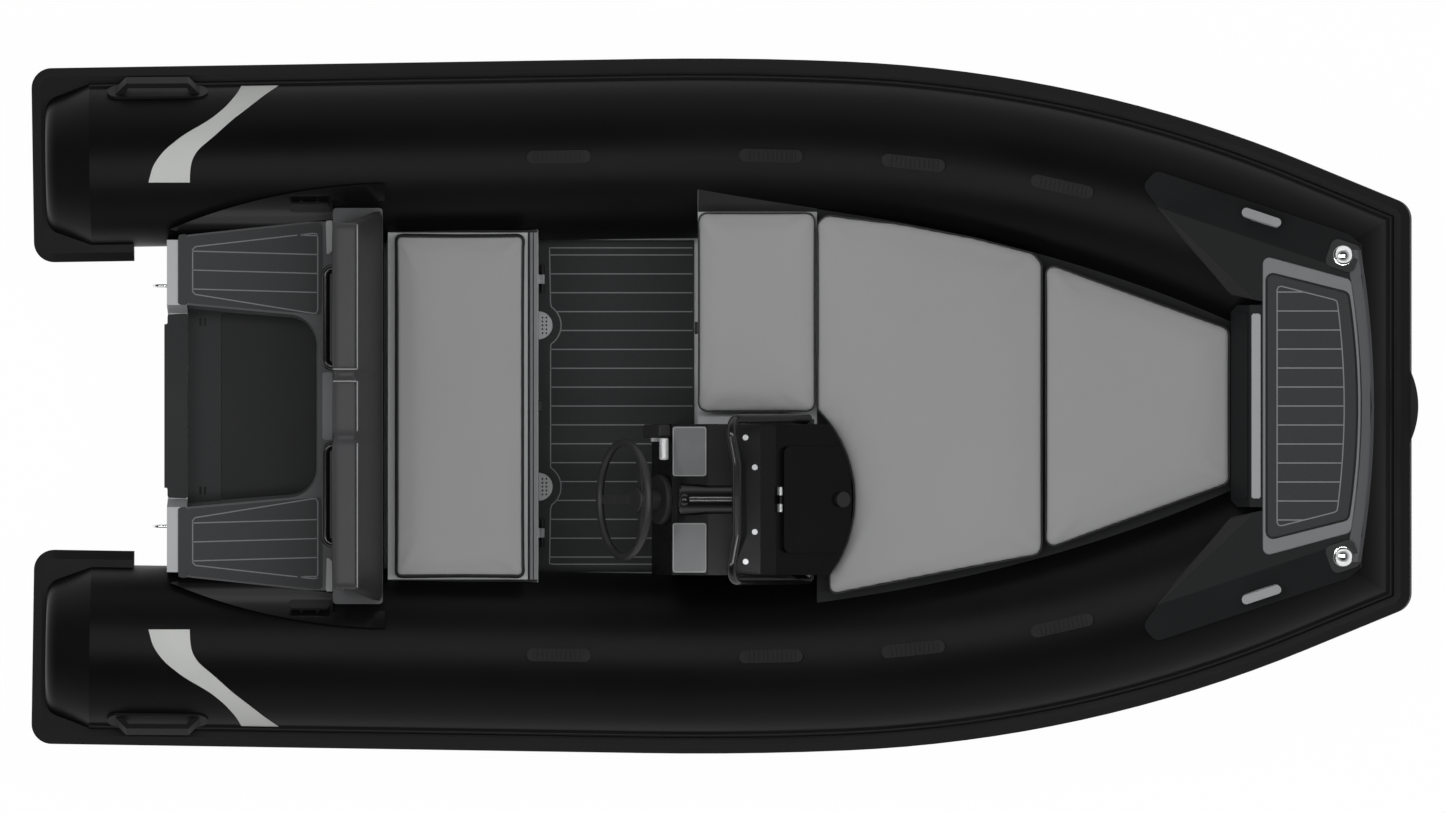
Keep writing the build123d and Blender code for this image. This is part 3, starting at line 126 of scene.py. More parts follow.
def inwards(loop):
    # unit normals of a closed plan loop, pointing to its inside
    ahead = unit(np.roll(loop, -1, 0) - np.roll(loop, 1, 0))
    area = (loop[:, 0] * np.roll(loop[:, 1], -1) - loop[:, 1] * np.roll(loop[:, 0], -1)).sum()
    return np.stack([-ahead[:, 1], ahead[:, 0]], 1) * np.sign(area)


def joined(grid):
    # each section closed round: its first point again at the end
    return np.concatenate([grid, grid[:, :1]], 1)


def capped(grid):
    # a run of sections whose two ends close on the middle of the end section
    ends = [np.broadcast_to(grid[end].mean(0), grid[end].shape)[None] for end in (0, -1)]
    return np.concatenate([ends[0], grid, ends[1]])


def carry(path, profile, closed=False, scale=None):
    # the profile (across, above) carried along the path: point = path + across * side + above * up,
    # where side is upright crossed with the path's direction
    path = np.asarray(path, float)
    if closed:
        ahead = unit(np.roll(path, -1, 0) - np.roll(path, 1, 0))
    else:
        ahead = unit(np.gradient(path, axis=0))
    side = unit(np.cross(np.broadcast_to([0.0, 0.0, 1.0], path.shape), ahead))
    above = unit(np.cross(ahead, side))
    profile = np.asarray(profile, float)
    profile = np.concatenate([profile, profile[:1]])
    scale = np.ones(len(path)) if scale is None else scale
    grid = (path[:, None] + profile[None, :, :1] * side[:, None] * scale[:, None, None]
            + profile[None, :, 1:] * above[:, None] * scale[:, None, None])
    return np.concatenate([grid, grid[:1]]) if closed else capped(grid)


def ringProfile(radius, sides):
    angle = np.linspace(0, 2 * np.pi, sides, endpoint=False)
    return np.stack([radius * np.cos(angle), radius * np.sin(angle)], 1)


def plate(loop, low, high, rise=0.0, bevel=1.0):
    # a flat plate on a closed plan loop, its top edge broken by a small bevel; both faces are fans
    middle = np.broadcast_to(loop.mean(0), loop.shape)
    inner = loop + inwards(loop) * bevel
    rings = [lift(middle, low, rise), lift(loop, low, rise), lift(loop, high - bevel, rise),
             lift(inner, high, rise), lift(middle, high, rise)]
    return joined(np.stack(rings))


def plates(name, settings):
    # plates of one kind as one piece: each outline with its corners rounded
    grids = []
    for corners in settings["outlines"]:
        loop = roundedLoop(corners, settings["corner"], settings.get("spacing", 8.0))
        grids.append(plate(loop, settings["low"], settings["high"], settings.get("rise", 0.0),
                           settings.get("bevel", 1.0)))
    if settings.get("both"):
        grids = mirrored(grids)
    return dress(addPiece(name, grids, sharp=30), settings["finish"])


def bowed(half, reach, frontPoints=25):
    # an outline from its port half, aft end first: the front is the parabola that runs from the
    # last point out to the middle plane at x = reach
    (endX, endY), half = half[-1], list(half)
    across = np.linspace(endY, -endY, frontPoints)[1:-1]
    front = np.stack([reach + (endX - reach) * (across / endY) ** 2, across], 1)
    return half + front.tolist() + [(x, -y) for x, y in half[::-1]]


def readPoints(mesh):
    flat = np.empty(len(mesh.vertices) * 3)
    mesh.vertices.foreach_get("co", flat)
    return flat.reshape(-1, 3)


def nodePoints(node):
    # a solid's own vertices, in mm
    return readPoints(bpy.data.objects[node].data) * perMetre


def topLevel(node, rise=0.0):
    # height at x = 0 of the plane with that rise (degrees) that lies on top of a solid
    points = nodePoints(node)
    return (points[:, 2] - points[:, 0] * math.tan(math.radians(rise))).max()


def lift(points, level, rise=0.0):
    # plan points put on that plane: z = level + x tan(rise)
    points = np.asarray(points, float)
    height = level + points[:, :1] * math.tan(math.radians(rise))
    return np.concatenate([points, height], 1)


def mirrored(grids):
    # the same grids on the other side of the middle plane
    return grids + [grid * np.array([1, -1, 1]) for grid in grids]


# material helpers

def shade(red, green, blue):
    # a display colour, 0 to 255, as a linear one
    value = np.array([red, green, blue]) / 255
    linear = np.where(value <= 0.04045, value / 12.92, ((value + 0.055) / 1.055) ** 2.4)
    return (*linear.tolist(), 1.0)


def emptyTree(owner):
    owner.use_nodes = True
    owner.node_tree.nodes.clear()
    return owner.node_tree


def put(tree, kind, sockets=None, **settings):
    # a new node; a socket given as a value is linked, anything else is set
    node = tree.nodes.new(kind)
    for key, value in settings.items():
        setattr(node, key, value)
    for key, value in (sockets or {}).items():
        if isinstance(value, bpy.types.NodeSocket):
            tree.links.new(value, node.inputs[key])
        else:
            node.inputs[key].default_value = value
    return node


def maths(tree, operation, first, second):
    return put(tree, "ShaderNodeMath", {0: first, 1: second}, operation=operation).outputs[0]


def noise(tree, coords, scale, detail, roughness=0.5):
    sockets = {"Vector": coords, "Scale": scale, "Detail": detail, "Roughness": roughness}
    return put(tree, "ShaderNodeTexNoise", sockets).outputs[0]


def spread(tree, value, low=0.0, high=1.0, fromLow=0.3, fromHigh=0.7):
    node = put(tree, "ShaderNodeMapRange", {
        "Value": value, "From Min": fromLow, "From Max": fromHigh, "To Min": low, "To Max": high})
    return node.outputs["Result"]


def blend(tree, share, first, second):
    # the colour sockets of the mix node are inputs 6 and 7 and output 2
    return put(tree, "ShaderNodeMix", {0: share, 6: first, 7: second}, data_type="RGBA").outputs[2]


def grain(tree, coords, look):
    # height of the fine relief, by kind of surface
    kind, size = look["grain"], look["grainScale"]
    if kind == "leather":
        cells = put(tree, "ShaderNodeTexVoronoi", {"Vector": coords, "Scale": size}, feature="SMOOTH_F1")
        pores = noise(tree, coords, size * 2.5, 2.0)
        return maths(tree, "ADD", cells.outputs["Distance"], pores)
    if kind == "brushed":
        stretch = put(tree, "ShaderNodeMapping", {"Vector": coords, "Scale": look["stretch"]})
        return noise(tree, stretch.outputs[0], size, 5.0, 0.7)
    if kind == "weave":
        warp, weft = [put(tree, "ShaderNodeTexWave", {"Vector": coords, "Scale": size, "Distortion": 0.6},
                          wave_type="BANDS", bands_direction=way).outputs["Fac"] for way in "XY"]
        return maths(tree, "MULTIPLY", warp, weft)
    return noise(tree, coords, size, 3.0)


# what a look has where it says nothing else
plainLook = dict(grain="soft", stretch=(0.06, 1, 1), cloud=3.0, speck=260.0, fleck=0.12, bump=0.5,
                 depth=0.0003, metallic=0.0, gloss=0.4, coat=0.0, coatRough=0.1, sheen=0.0, clear=0.0,
                 ior=1.5, seamBlur=0.4, aftBlur=0.01)


def finishOf(name, look):
    # base colour drifts between two shades, roughness drifts too, and the grain is a bump;
    # values that are the same all over are set on the shader itself
    look = {**plainLook, **look}
    material = bpy.data.materials.new(name)
    tree = emptyTree(material)
    coords = put(tree, "ShaderNodeTexCoord").outputs["Object"]
    first, second = [shade(*colour) for colour in look["shades"]]
    cloud = noise(tree, coords, look["cloud"], 5.0, 0.6)
    base = blend(tree, spread(tree, cloud), first, second)
    if "aftShade" in look:
        # the pieces aft of the middle have a colour of their own
        along = put(tree, "ShaderNodeSeparateXYZ", {0: coords}).outputs["X"]
        fore = spread(tree, along, fromLow=-look["aftBlur"], fromHigh=look["aftBlur"])
        base = blend(tree, fore, shade(*look["aftShade"]), base)
    fine = noise(tree, coords, look["speck"], 3.0)
    base = blend(tree, look["fleck"], base, blend(tree, spread(tree, fine), first, second))
    if "boxingToneAndGapShade" in look:
        # the boxing and the band of the top outside the seam take the darker boxing colour: partly the
        # boxing's own tone, partly painted shade for the gaps between the pads; a piece's own distance from
        # its seam, in mm, tells its boxing from its top
        inset = put(tree, "ShaderNodeAttribute", attribute_name="inset").outputs["Fac"]
        seam, blur = look["seam"], look["seamBlur"]
        line = spread(tree, inset, fromLow=seam - blur, fromHigh=seam + blur)
        base = blend(tree, line, shade(*look["boxingToneAndGapShade"]), base)
    height = put(tree, "ShaderNodeBump", {
        "Height": grain(tree, coords, look), "Strength": look["bump"], "Distance": look["depth"]})
    shader = put(tree, "ShaderNodeBsdfPrincipled", {
        "Base Color": base, "Roughness": spread(tree, cloud, *look["rough"]), "Normal": height.outputs[0],
        "Metallic": look["metallic"], "Specular IOR Level": look["gloss"], "Coat Weight": look["coat"],
        "Coat Roughness": look["coatRough"], "Sheen Weight": look["sheen"],
        "Transmission Weight": look["clear"], "IOR": look["ior"]})
    put(tree, "ShaderNodeOutputMaterial", {0: shader.outputs[0]})
    material.diffuse_color = first
    return material


# what several looks share
fabric = dict(grain="weave", grainScale=420.0, depth=0.0002)
gelcoat = dict(rough=(0.4, 0.5), grainScale=160.0, bump=0.15, gloss=0.3)
foam = dict(rough=(0.72, 0.86), gloss=0.2, grain="brushed", grainScale=420.0, bump=0.7, depth=0.0004,
            fleck=0.5)
leather = dict(gloss=0.3, grain="leather", grainScale=620.0)
seatVinyl = dict(leather, shades=((131, 131, 132), (138, 138, 139)), rough=(0.48, 0.6), gloss=0.25,
                 bump=0.3, cloud=1.3)

looks = {
    "tubeFabric": dict(fabric, shades=((9, 9, 10), (13, 13, 14)), rough=(0.34, 0.42), gloss=0.08,
                       bump=0.25, cloud=1.6),
    "coneFabric": dict(shades=((9, 9, 10), (13, 13, 14)), rough=(0.3, 0.4), gloss=0.1,
                       grainScale=180.0, bump=0.2, cloud=2.5),
    "strakeRubber": dict(shades=((9, 9, 10), (14, 14, 15)), rough=(0.4, 0.52), gloss=0.12,
                         grain="brushed", grainScale=90.0, bump=0.35, stretch=(0.05, 1, 1)),
    # also laid on as painted shade: on the wings' inner facets and in the gaps round the bench pad
    "mouldedRubberAndPaintedShade": dict(shades=((13, 13, 14), (19, 19, 20)), rough=(0.5, 0.62), gloss=0.2,
                          grainScale=320.0, bump=0.4),
    "wellRubber": dict(shades=((38, 39, 40), (45, 46, 47)), rough=(0.55, 0.7), gloss=0.2,
                       grainScale=500.0, bump=0.3),
    "silverStripe": dict(fabric, shades=((178, 180, 178), (192, 193, 191)), rough=(0.5, 0.6), gloss=0.3,
                         bump=0.2, sheen=0.1),
    "hullGelcoat": dict(shades=((98, 100, 102), (108, 110, 112)), rough=(0.18, 0.28), grainScale=90.0,
                        bump=0.06, coat=0.5),
    "deckGelcoat": dict(gelcoat, shades=((158, 160, 161), (170, 172, 173)), grainScale=140.0, bump=0.12,
                        gloss=0.35),
    "aftGelcoat": dict(gelcoat, shades=((58, 59, 61), (68, 69, 71)), rough=(0.4, 0.52)),
    # also laid on as painted light in front of the well and as painted shade on the bench's lip
    "bowGelcoatAndPaintedLight": dict(gelcoat, shades=((98, 99, 101), (108, 109, 111))),
    "noseGelcoat": dict(gelcoat, shades=((60, 61, 63), (70, 71, 73))),
    "darkGelcoat": dict(gelcoat, shades=((21, 22, 23), (27, 28, 29)), rough=(0.46, 0.58), gloss=0.1),
    "consoleGelcoat": dict(shades=((7, 7, 8), (11, 11, 12)), rough=(0.2, 0.3), grainScale=110.0,
                           bump=0.08, coat=0.05, gloss=0.12),
    "glossBlack": dict(shades=((8, 8, 9), (13, 13, 14)), rough=(0.14, 0.24), grainScale=120.0, bump=0.06,
                       coat=0.15, gloss=0.3),
    "mattBlack": dict(shades=((22, 22, 23), (30, 30, 31)), rough=(0.5, 0.62), grainScale=420.0,
                      bump=0.35, gloss=0.3),
    "padPlate": dict(shades=((30, 30, 31), (38, 38, 39)), rough=(0.55, 0.7), grainScale=600.0, bump=0.6,
                     gloss=0.3),
    "wheelGrip": dict(leather, shades=((24, 24, 25), (33, 33, 34)), rough=(0.42, 0.55), gloss=0.4,
                      grainScale=600.0, bump=0.3),
    "deckFoam": dict(foam, shades=((43, 44, 45), (51, 52, 53))),
    "stepFoam": dict(foam, shades=((46, 47, 48), (55, 56, 57)), stretch=(1, 0.06, 1)),
    "aftFoam": dict(foam, shades=((53, 54, 55), (62, 63, 64))),
    "foamLine": dict(shades=((108, 109, 111), (122, 123, 124)), rough=(0.6, 0.75), gloss=0.2,
                     grainScale=500.0, bump=0.4),
    # the seat vinyls' darker boxing colour is partly the boxing's own tone, partly painted shade for the
    # gaps between the pads
    "greyVinylAndGapShade": dict(seatVinyl, boxingToneAndGapShade=(26, 26, 27), seam=2.6),
    "benchVinylAndGapShade": dict(seatVinyl, boxingToneAndGapShade=(48, 48, 50), seam=11.0),
    "backVinyl": dict(leather, shades=((46, 46, 47), (53, 53, 55)), rough=(0.42, 0.55), bump=0.35),
    "pipingVinyl": dict(leather, shades=((30, 30, 31), (38, 38, 40)), rough=(0.4, 0.5), grainScale=900.0,
                        bump=0.2),
    # a pale tone for the dash frames and the riser's step, also laid on as painted highlights along the
    # backrest's edges and as painted light on the aft deck
    "paleTrimAndPaintedLight": dict(shades=((128, 129, 130), (142, 143, 144)), rough=(0.35, 0.45), gloss=0.35,
                     grainScale=400.0, bump=0.2),
    "polishedSteel": dict(shades=((226, 227, 228), (238, 239, 240)), rough=(0.07, 0.16), metallic=1.0,
                          grainScale=60.0, bump=0.04),
    # the pale base colour stands in as painted reflection for the cleats' steel shine; the dark colour aft
    # is the stern cleats' own black
    "castSteelPaintedReflection": dict(shades=((138, 139, 140), (150, 151, 152)), rough=(0.3, 0.4), gloss=0.5,
                      grainScale=300.0, bump=0.1, aftShade=(10, 10, 11), fleck=0.0),
    # partly metal; the light base colour is painted reflection for the steel's shine
    "brightSteelPaintedReflection": dict(shades=((176, 177, 178), (196, 197, 198)), rough=(0.2, 0.3), metallic=0.4,
                        grainScale=200.0, bump=0.06),
    # the dash panels' mid-grey base colour is painted reflection: the dark glossy panels show grey where
    # they mirror the room
    "dashPaintedReflection": dict(shades=((92, 93, 94), (104, 105, 106)), rough=(0.12, 0.2), grainScale=60.0,
                      bump=0.04, coat=0.4),
    "smokedScreen": dict(shades=((88, 92, 94), (96, 100, 102)), rough=(0.03, 0.07), clear=0.92, ior=1.49,
                         grainScale=12.0, bump=0.02),
}
finishes = {name: finishOf(name, look) for name, look in looks.items()}
print("finishes made,", len(finishes))


def dress(piece, finish):
    piece.data.materials.clear()
    piece.data.materials.append(finishes[finish])
    return piece


# the solids by their finish
finishNodes = {
    "hullGelcoat": ["hull"],
    "tubeFabric": ["tube_port", "tube_starboard", "tube_bow"],
    "coneFabric": ["stern_cones"],
    "strakeRubber": ["rub_strake_port", "rub_strake_starboard", "rub_strake_bow"],
    "mouldedRubberAndPaintedShade": ["keel_guard", "tube_handles", "carry_handle_port", "carry_handle_starboard",
                      "bow_handle"],
    "deckGelcoat": ["transom", "bench_locker", "bench_door", "floor_deck", "floor_drains",
                    "side_locker"],
    "aftGelcoat": ["aft_deck", "backrest_plinth"],
    "bowGelcoatAndPaintedLight": ["bow_platform"],
    "darkGelcoat": ["bow_locker", "bow_riser", "riser_panel", "bow_step"],
    "consoleGelcoat": ["console", "console_hatch"],
    "glossBlack": ["fairings", "backrest_rails", "windshield_rail"],
    "mattBlack": ["bench_hinges", "bench_latch", "side_latch", "helm", "throttle", "hatch_knob"],
    "padPlate": ["transom_pad"],
    "wheelGrip": ["steering_wheel"],
    "deckFoam": ["floor_mat"],
    "stepFoam": ["bow_step_mat"],
    "aftFoam": ["aft_mats"],
    "greyVinylAndGapShade": ["side_seat", "sundeck_cushion", "bow_cushion"],
    "benchVinylAndGapShade": ["bench_cushion"],
    "backVinyl": ["backrest"],
    "polishedSteel": ["towing_eyes", "bow_lamps"],
    "castSteelPaintedReflection": ["cleats"],
    "brightSteelPaintedReflection": ["throttle_lever", "windshield_studs", "hatch_hinge"],
    "dashPaintedReflection": ["dash_panels"],
    "smokedScreen": ["windshield"],
}
for finish, nodes in finishNodes.items():
    for node in nodes:
        dress(bpy.data.objects[node], finish)
print("solids dressed")


# cushions

# calm and reach set how far from a corner the sides go slack; foot is the bottom's turned-in edge
padShape = dict(calm=20, reach=170, slackPower=0.7, foot=4.0, crownPower=2.4, sideRings=7, topRings=16)


def cushionShape(plan):
    # rings round a plan loop. The side leans in by pull * sin(pi v) between its corners, the top
    # edge is a quarter circle, and the top rises as crown * (1 - s^2.4), where s goes from 1 at
    # the edge to 0 in the middle; the bottom is flat
    loop = roundedLoop(plan["corners"], plan["radii"], 12.0)
    normal = inwards(loop)
    corners = np.asarray(plan["corners"], float)
    away = np.linalg.norm(loop[:, None] - corners[None], axis=2).min(1)
    slack = np.clip((away - padShape["calm"]) / padShape["reach"], 0, 1) ** padShape["slackPower"]
    loop = loop + normal * (plan["margin"] + plan["waist"] * slack)[:, None]
    low, high, edge, foot = plan["low"], plan["high"] - plan["crown"], plan["edge"], padShape["foot"]
    middle = loop.mean(0)
    rings = []

    def ring(inset, height, share=1.0):
        flat = middle + (loop + normal * np.reshape(inset, (-1, 1)) - middle) * share
        rings.append(np.concatenate([flat, np.full((len(flat), 1), height)], 1))

    for share in (0.0, 0.4, 0.75, 0.97):
        ring(foot, low, share)
    for value in np.linspace(0, 1, padShape["sideRings"]):
        height = low + foot + (high - edge - low - foot) * value
        ring(plan["pull"] * slack * math.sin(math.pi * value), height)
    for angle in np.radians([22, 45, 68, 90]):
        ring(edge * (1 - math.cos(angle)), high - edge + edge * math.sin(angle))
    for share in np.linspace(0.96, 0.0, padShape["topRings"]):
        ring(edge, high + plan["crown"] * (1 - share ** padShape["crownPower"]), share)
    return joined(np.stack(rings)), loop


def gap(points, loop):
    # distance of plan points from the nearest segment of a closed loop
    step = np.roll(loop, -1, 0) - loop
    offset = points[:, None] - loop[None]
    share = np.clip((offset * step).sum(2) / (step * step).sum(1), 0, 1)
    return np.linalg.norm(offset - step[None] * share[..., None], axis=2).min(1)


def withModifiers(piece):
    # the piece's mesh as its modifiers make it
    graph = bpy.context.evaluated_depsgraph_get()
    return bpy.data.meshes.new_from_object(piece.evaluated_get(graph))


def swell(pieces, settings):
    # the skins are remeshed, blown up a little as cloth with their bottoms pinned, and keep at
    # most cap of that move; one subdivision follows
    scene = bpy.context.scene
    starts = []
    for piece in pieces:
        remesh = piece.modifiers.new("remesh", "REMESH")
        remesh.mode = "VOXEL"
        remesh.voxel_size = settings["voxel"]
        piece.data = withModifiers(piece)
        piece.modifiers.clear()
        points = readPoints(piece.data)
        starts.append(points)
        pins = piece.vertex_groups.new(name="pins")
        held = np.nonzero(points[:, 2] < points[:, 2].min() + settings["pinned"])[0]
        pins.add(held.tolist(), 1.0, "REPLACE")
        cloth = piece.modifiers.new("cloth", "CLOTH").settings
        cloth.use_pressure = True
        cloth.uniform_pressure_force = settings["pressure"]
        cloth.effector_weights.gravity = 0
        cloth.vertex_group_mass = "pins"
        cloth.quality = settings["quality"]
        cloth.mass = settings["mass"]
        cloth.tension_stiffness = cloth.compression_stiffness = settings["stiffness"]
    for number in range(1, settings["frames"] + 1):
        scene.frame_set(number)
    for piece, start in zip(pieces, starts):
        swollen = withModifiers(piece)
        move = readPoints(swollen) - start
        length = np.linalg.norm(move, axis=1, keepdims=True)
        move = move * np.minimum(1, settings["cap"] / np.maximum(length, tiny))
        print("  ", piece.name, "moved", round(float(length.max()) * perMetre, 1), "mm before the cap")
        piece.modifiers.clear()
        piece.vertex_groups.clear()
        piece.data = swollen
        swollen.vertices.foreach_set("co", (start + move).ravel())
        smooth = piece.modifiers.new("smooth", "SUBSURF")
        smooth.levels = smooth.render_levels = 1
        piece.data = withModifiers(piece)
        piece.modifiers.clear()
        piece.data.shade_smooth()
    scene.frame_set(1)


seatPlan = dict(finish="greyVinylAndGapShade", margin=-2.0, waist=0.5, pull=3.0, crown=7.0, edge=12.0, low=500.4,
                high=581.0, radii=23.0, seamInset=3.0, piping=1.8)
sundeckArc = dict(centre=(4.0, -263.0), radius=360.0, start=-36.5, end=44.7, points=14)
angles = np.radians(np.linspace(sundeckArc["start"], sundeckArc["end"], sundeckArc["points"]))
arc = sundeckArc["centre"] + sundeckArc["radius"] * np.stack([np.cos(angles), np.sin(angles)], 1)
cushionPlans = {
    "benchPad": dict(seatPlan, node="bench_cushion", finish="benchVinylAndGapShade", margin=2.5, waist=1.5, edge=13.0,
                     low=385.4, high=466.0, radii=24.0, seamInset=11.0, piping=2.6,
                     corners=oblong(-940, -560, -492, 492)),
    "sidePad": dict(seatPlan, node="side_seat", corners=oblong(-76, 255, -16, 547)),
    "bowPad": dict(seatPlan, node="bow_cushion",
                   corners=[(905, -407), (1426, -219), (1426, 219), (905, 407)]),
    "sundeckPad": dict(seatPlan, node="sundeck_cushion",
                       corners=[(297, -534), (891, -420), (897, -390), (897, 402), (874, 432), (710, 475),
                                (502, 515), (286, 541), (260, 520)] + arc[::-1].tolist(),
                       radii=[16, 24, 24, 24, 24, 300, 300, 24, 24] + [2] * len(arc)),
}

backPlan = dict(backX=-1109.0, topX=-1038.0, frontX=-968.0, top=788.5, low=470.4, backDrop=750.0,
                backFrontX=-1074.0, half=520.0, flare=39.0, radii=[14.0, 14.0, 8, 2, 2, 8], spacing=7.0,
                end=16.0, endShare=0.035, sections=120, valley=89.0, valleyWidth=11.0, valleyDepth=11.0,
                fadeLow=560, fadeReach=190, fadeAft=60)


def backShape(plan):
    # a side profile carried across the boat. Its half width is half aft of topX and grows by flare
    # down to frontX; near the ends it shrinks as end * (1 - sqrt(1 - u^2)), and two valleys
    # dip as depth * exp(-((|y| - valley) / width)^2), fading out down the front
    corners = [(plan["backX"], plan["top"]), (plan["topX"], plan["top"]), (plan["frontX"], plan["low"]),
               (plan["backFrontX"], plan["low"]), (plan["backFrontX"], plan["backDrop"]),
               (plan["backX"], plan["backDrop"])]
    profile = roundedLoop(corners, plan["radii"], plan["spacing"])
    normal = inwards(profile)
    fine = plan["endShare"] * np.linspace(0, 1, 12) ** 2
    share = np.concatenate([fine - 1, np.linspace(-0.95, 0.95, plan["sections"]), 1 - fine[::-1]])
    x, z = profile[:, 0], profile[:, 1]
    down = np.clip((x - plan["topX"]) / (plan["frontX"] - plan["topX"]), 0, 1)
    half = plan["half"] + plan["flare"] * down
    y = share[:, None] * half
    into = np.clip(1 - (half - np.abs(y)) / plan["end"], 0, 1)
    inset = plan["end"] * (1 - np.sqrt(1 - np.minimum(into, 0.999) ** 2))
    front = x > plan["backFrontX"] - plan["fadeAft"]
    fade = np.clip((z - plan["fadeLow"]) / plan["fadeReach"], 0, 1) * front
    inset += plan["valleyDepth"] * fade * np.exp(-((np.abs(y) - plan["valley"]) / plan["valleyWidth"]) ** 2)
    across = x + normal[:, 0] * inset
    above = z + normal[:, 1] * inset
    return joined(capped(np.stack([across, y, above], -1)))


pads = {}
for name, plan in cushionPlans.items():
    grid, loop = cushionShape(plan)
    pads[name] = addPiece(name, [grid], sharp=180)
    plan["loop"] = loop
pads["backPad"] = addPiece("backPad", [backShape(backPlan)], sharp=180)
# lengths in metres
swell(list(pads.values()), dict(voxel=0.0085, pinned=0.006, pressure=4.0, stiffness=12.0, mass=0.3,
                                quality=5, frames=20, cap=0.004))
edgeShare = 0.8
nearest = 4
for name, plan in cushionPlans.items():
    pad = pads[name]
    points = readPoints(pad.data) * perMetre
    away = gap(points[:, :2], plan["loop"])
    top = points[:, 2] > plan["high"] - plan["crown"] - plan["edge"] * edgeShare
    # the sides get 0, so they take the darker boxing colour: partly its own tone, partly painted shade of
    # the gaps
    inset = np.where(top, away, 0.0)
    layer = pad.data.attributes.new("inset", "FLOAT", "POINT")
    layer.data.foreach_set("value", inset)
    dress(pad, plan["finish"])
    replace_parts(pad, plan["node"])
    # piping on the seam: its path takes the height of the pad's nearest top points
    path = plan["loop"] + inwards(plan["loop"]) * plan["seamInset"]
    path = evenly(path, 9.0, closed=True)
    upper = points[top]
    far = np.linalg.norm(path[:, None] - upper[None, :, :2], axis=2)
    near = np.argpartition(far, nearest, axis=1)[:, :nearest]
    height = upper[near, 2].mean(1)
    height = (np.roll(height, 1) + height * 2 + np.roll(height, -1)) / 4
    path = np.concatenate([path, height[:, None]], 1)
    beading = carry(path, ringProfile(plan["piping"], 8), closed=True)
    rim = addPiece(name + "Piping", [beading], sharp=180)
    dress(rim, "pipingVinyl")
backPad = dress(pads["backPad"], "backVinyl")
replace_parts(backPad, "backrest")
# pale lines along the pads' upper front edges, and across their tops beside the port valley: painted
# highlights where these edges catch the light, so the starboard ends get none
highlightPlan = dict(frontX=-1036.5, ends=(-1106, -1038), middle=70, outer=104, tip=512, drop=1.0, radius=1.9)
frontX, middle, outer, tip = [highlightPlan[key] for key in ("frontX", "middle", "outer", "tip")]
runs = [[(frontX, outer), (frontX, tip)], [(frontX, -outer), (frontX, -tip)],
        [(frontX, -middle), (frontX, middle)]]
runs += [[(x, y) for x in highlightPlan["ends"]] for y in (outer, middle)]
level = backPlan["top"] - highlightPlan["drop"]
grids = [carry(evenly(lift(run, level), 12.0), ringProfile(highlightPlan["radius"], 8)) for run in runs]
dress(addPiece("backEdgeHighlights", grids, sharp=180), "paleTrimAndPaintedLight")
print("cushions made,", len(pads))


# stripes on the tubes

tube = dict(radius=235.0, axisHeight=270.0, sternX=-1797.0, sternHalf=684.0, heading=0.89)


def tubeHalf(x):
    # distance of the port tube's centreline from the middle plane, aft of the knee
    return tube["sternHalf"] + (x - tube["sternX"]) * math.tan(math.radians(tube["heading"]))


def onTube(x, y, above=0.0):
    # the point of the port tube's skin straight above (x, y): z = axis + sqrt(r^2 - (y - half)^2)
    across = (y - tubeHalf(x)) / tube["radius"]
    rise = np.sqrt(np.clip(1 - across ** 2, 0.0, 1))
    radius = tube["radius"] + above
    return np.stack([x, tubeHalf(x) + across * radius, tube["axisHeight"] + rise * radius], -1)


# edge columns: distance from the middle plane, aft edge x, fore edge x; blur smooths both edges
stripePlan = dict(rows=46, columns=12, above=1.0, sunk=-0.5, blur=(1, 2, 3, 2, 1), edge=np.array([
    (632, -1630, -1513), (651, -1625, -1513), (674, -1619, -1511), (698, -1605, -1506),
    (725, -1583, -1490), (765, -1533, -1442), (809, -1457, -1394), (843, -1415, -1350),
    (881, -1382, -1302), (914, -1364, -1254),
], float))
edge = stripePlan["edge"]
side = np.linspace(edge[0, 0], edge[-1, 0], stripePlan["rows"])
aft = np.interp(side, edge[:, 0], edge[:, 1])
fore = np.interp(side, edge[:, 0], edge[:, 2])
kernel = np.array(stripePlan["blur"]) / sum(stripePlan["blur"])
aft[2:-2], fore[2:-2] = np.convolve(aft, kernel, "valid"), np.convolve(fore, kernel, "valid")
across = aft[:, None] + (fore - aft)[:, None] * np.linspace(0, 1, stripePlan["columns"])
upper, lower = [onTube(across, np.broadcast_to(side[:, None], across.shape), stripePlan[level])
                for level in ("above", "sunk")]
shell = [upper, lower] + [np.stack([upper[row], lower[row]]) for row in (0, -1)]
shell += [np.stack([upper[:, row], lower[:, row]]) for row in (0, -1)]
stripes = addPiece("tubeStripes", mirrored(shell), sharp=40)
dress(stripes, "silverStripe")
print("stripes made")


# foot strip between the strake and the tube

# at the knee the tubes turn up by rise degrees; each bend is a turn in degrees and a radius
collar = dict(kneeX=-257.5, rise=5.0, run=30.0, bends=((3.34, 9708.0), (19.92, 3579.0)), mitreX=1666.0,
              spacing=45.0)


def bearing(degrees):
    # unit plan vector at that angle from the bow
    return np.array([math.cos(math.radians(degrees)), math.sin(math.radians(degrees))])


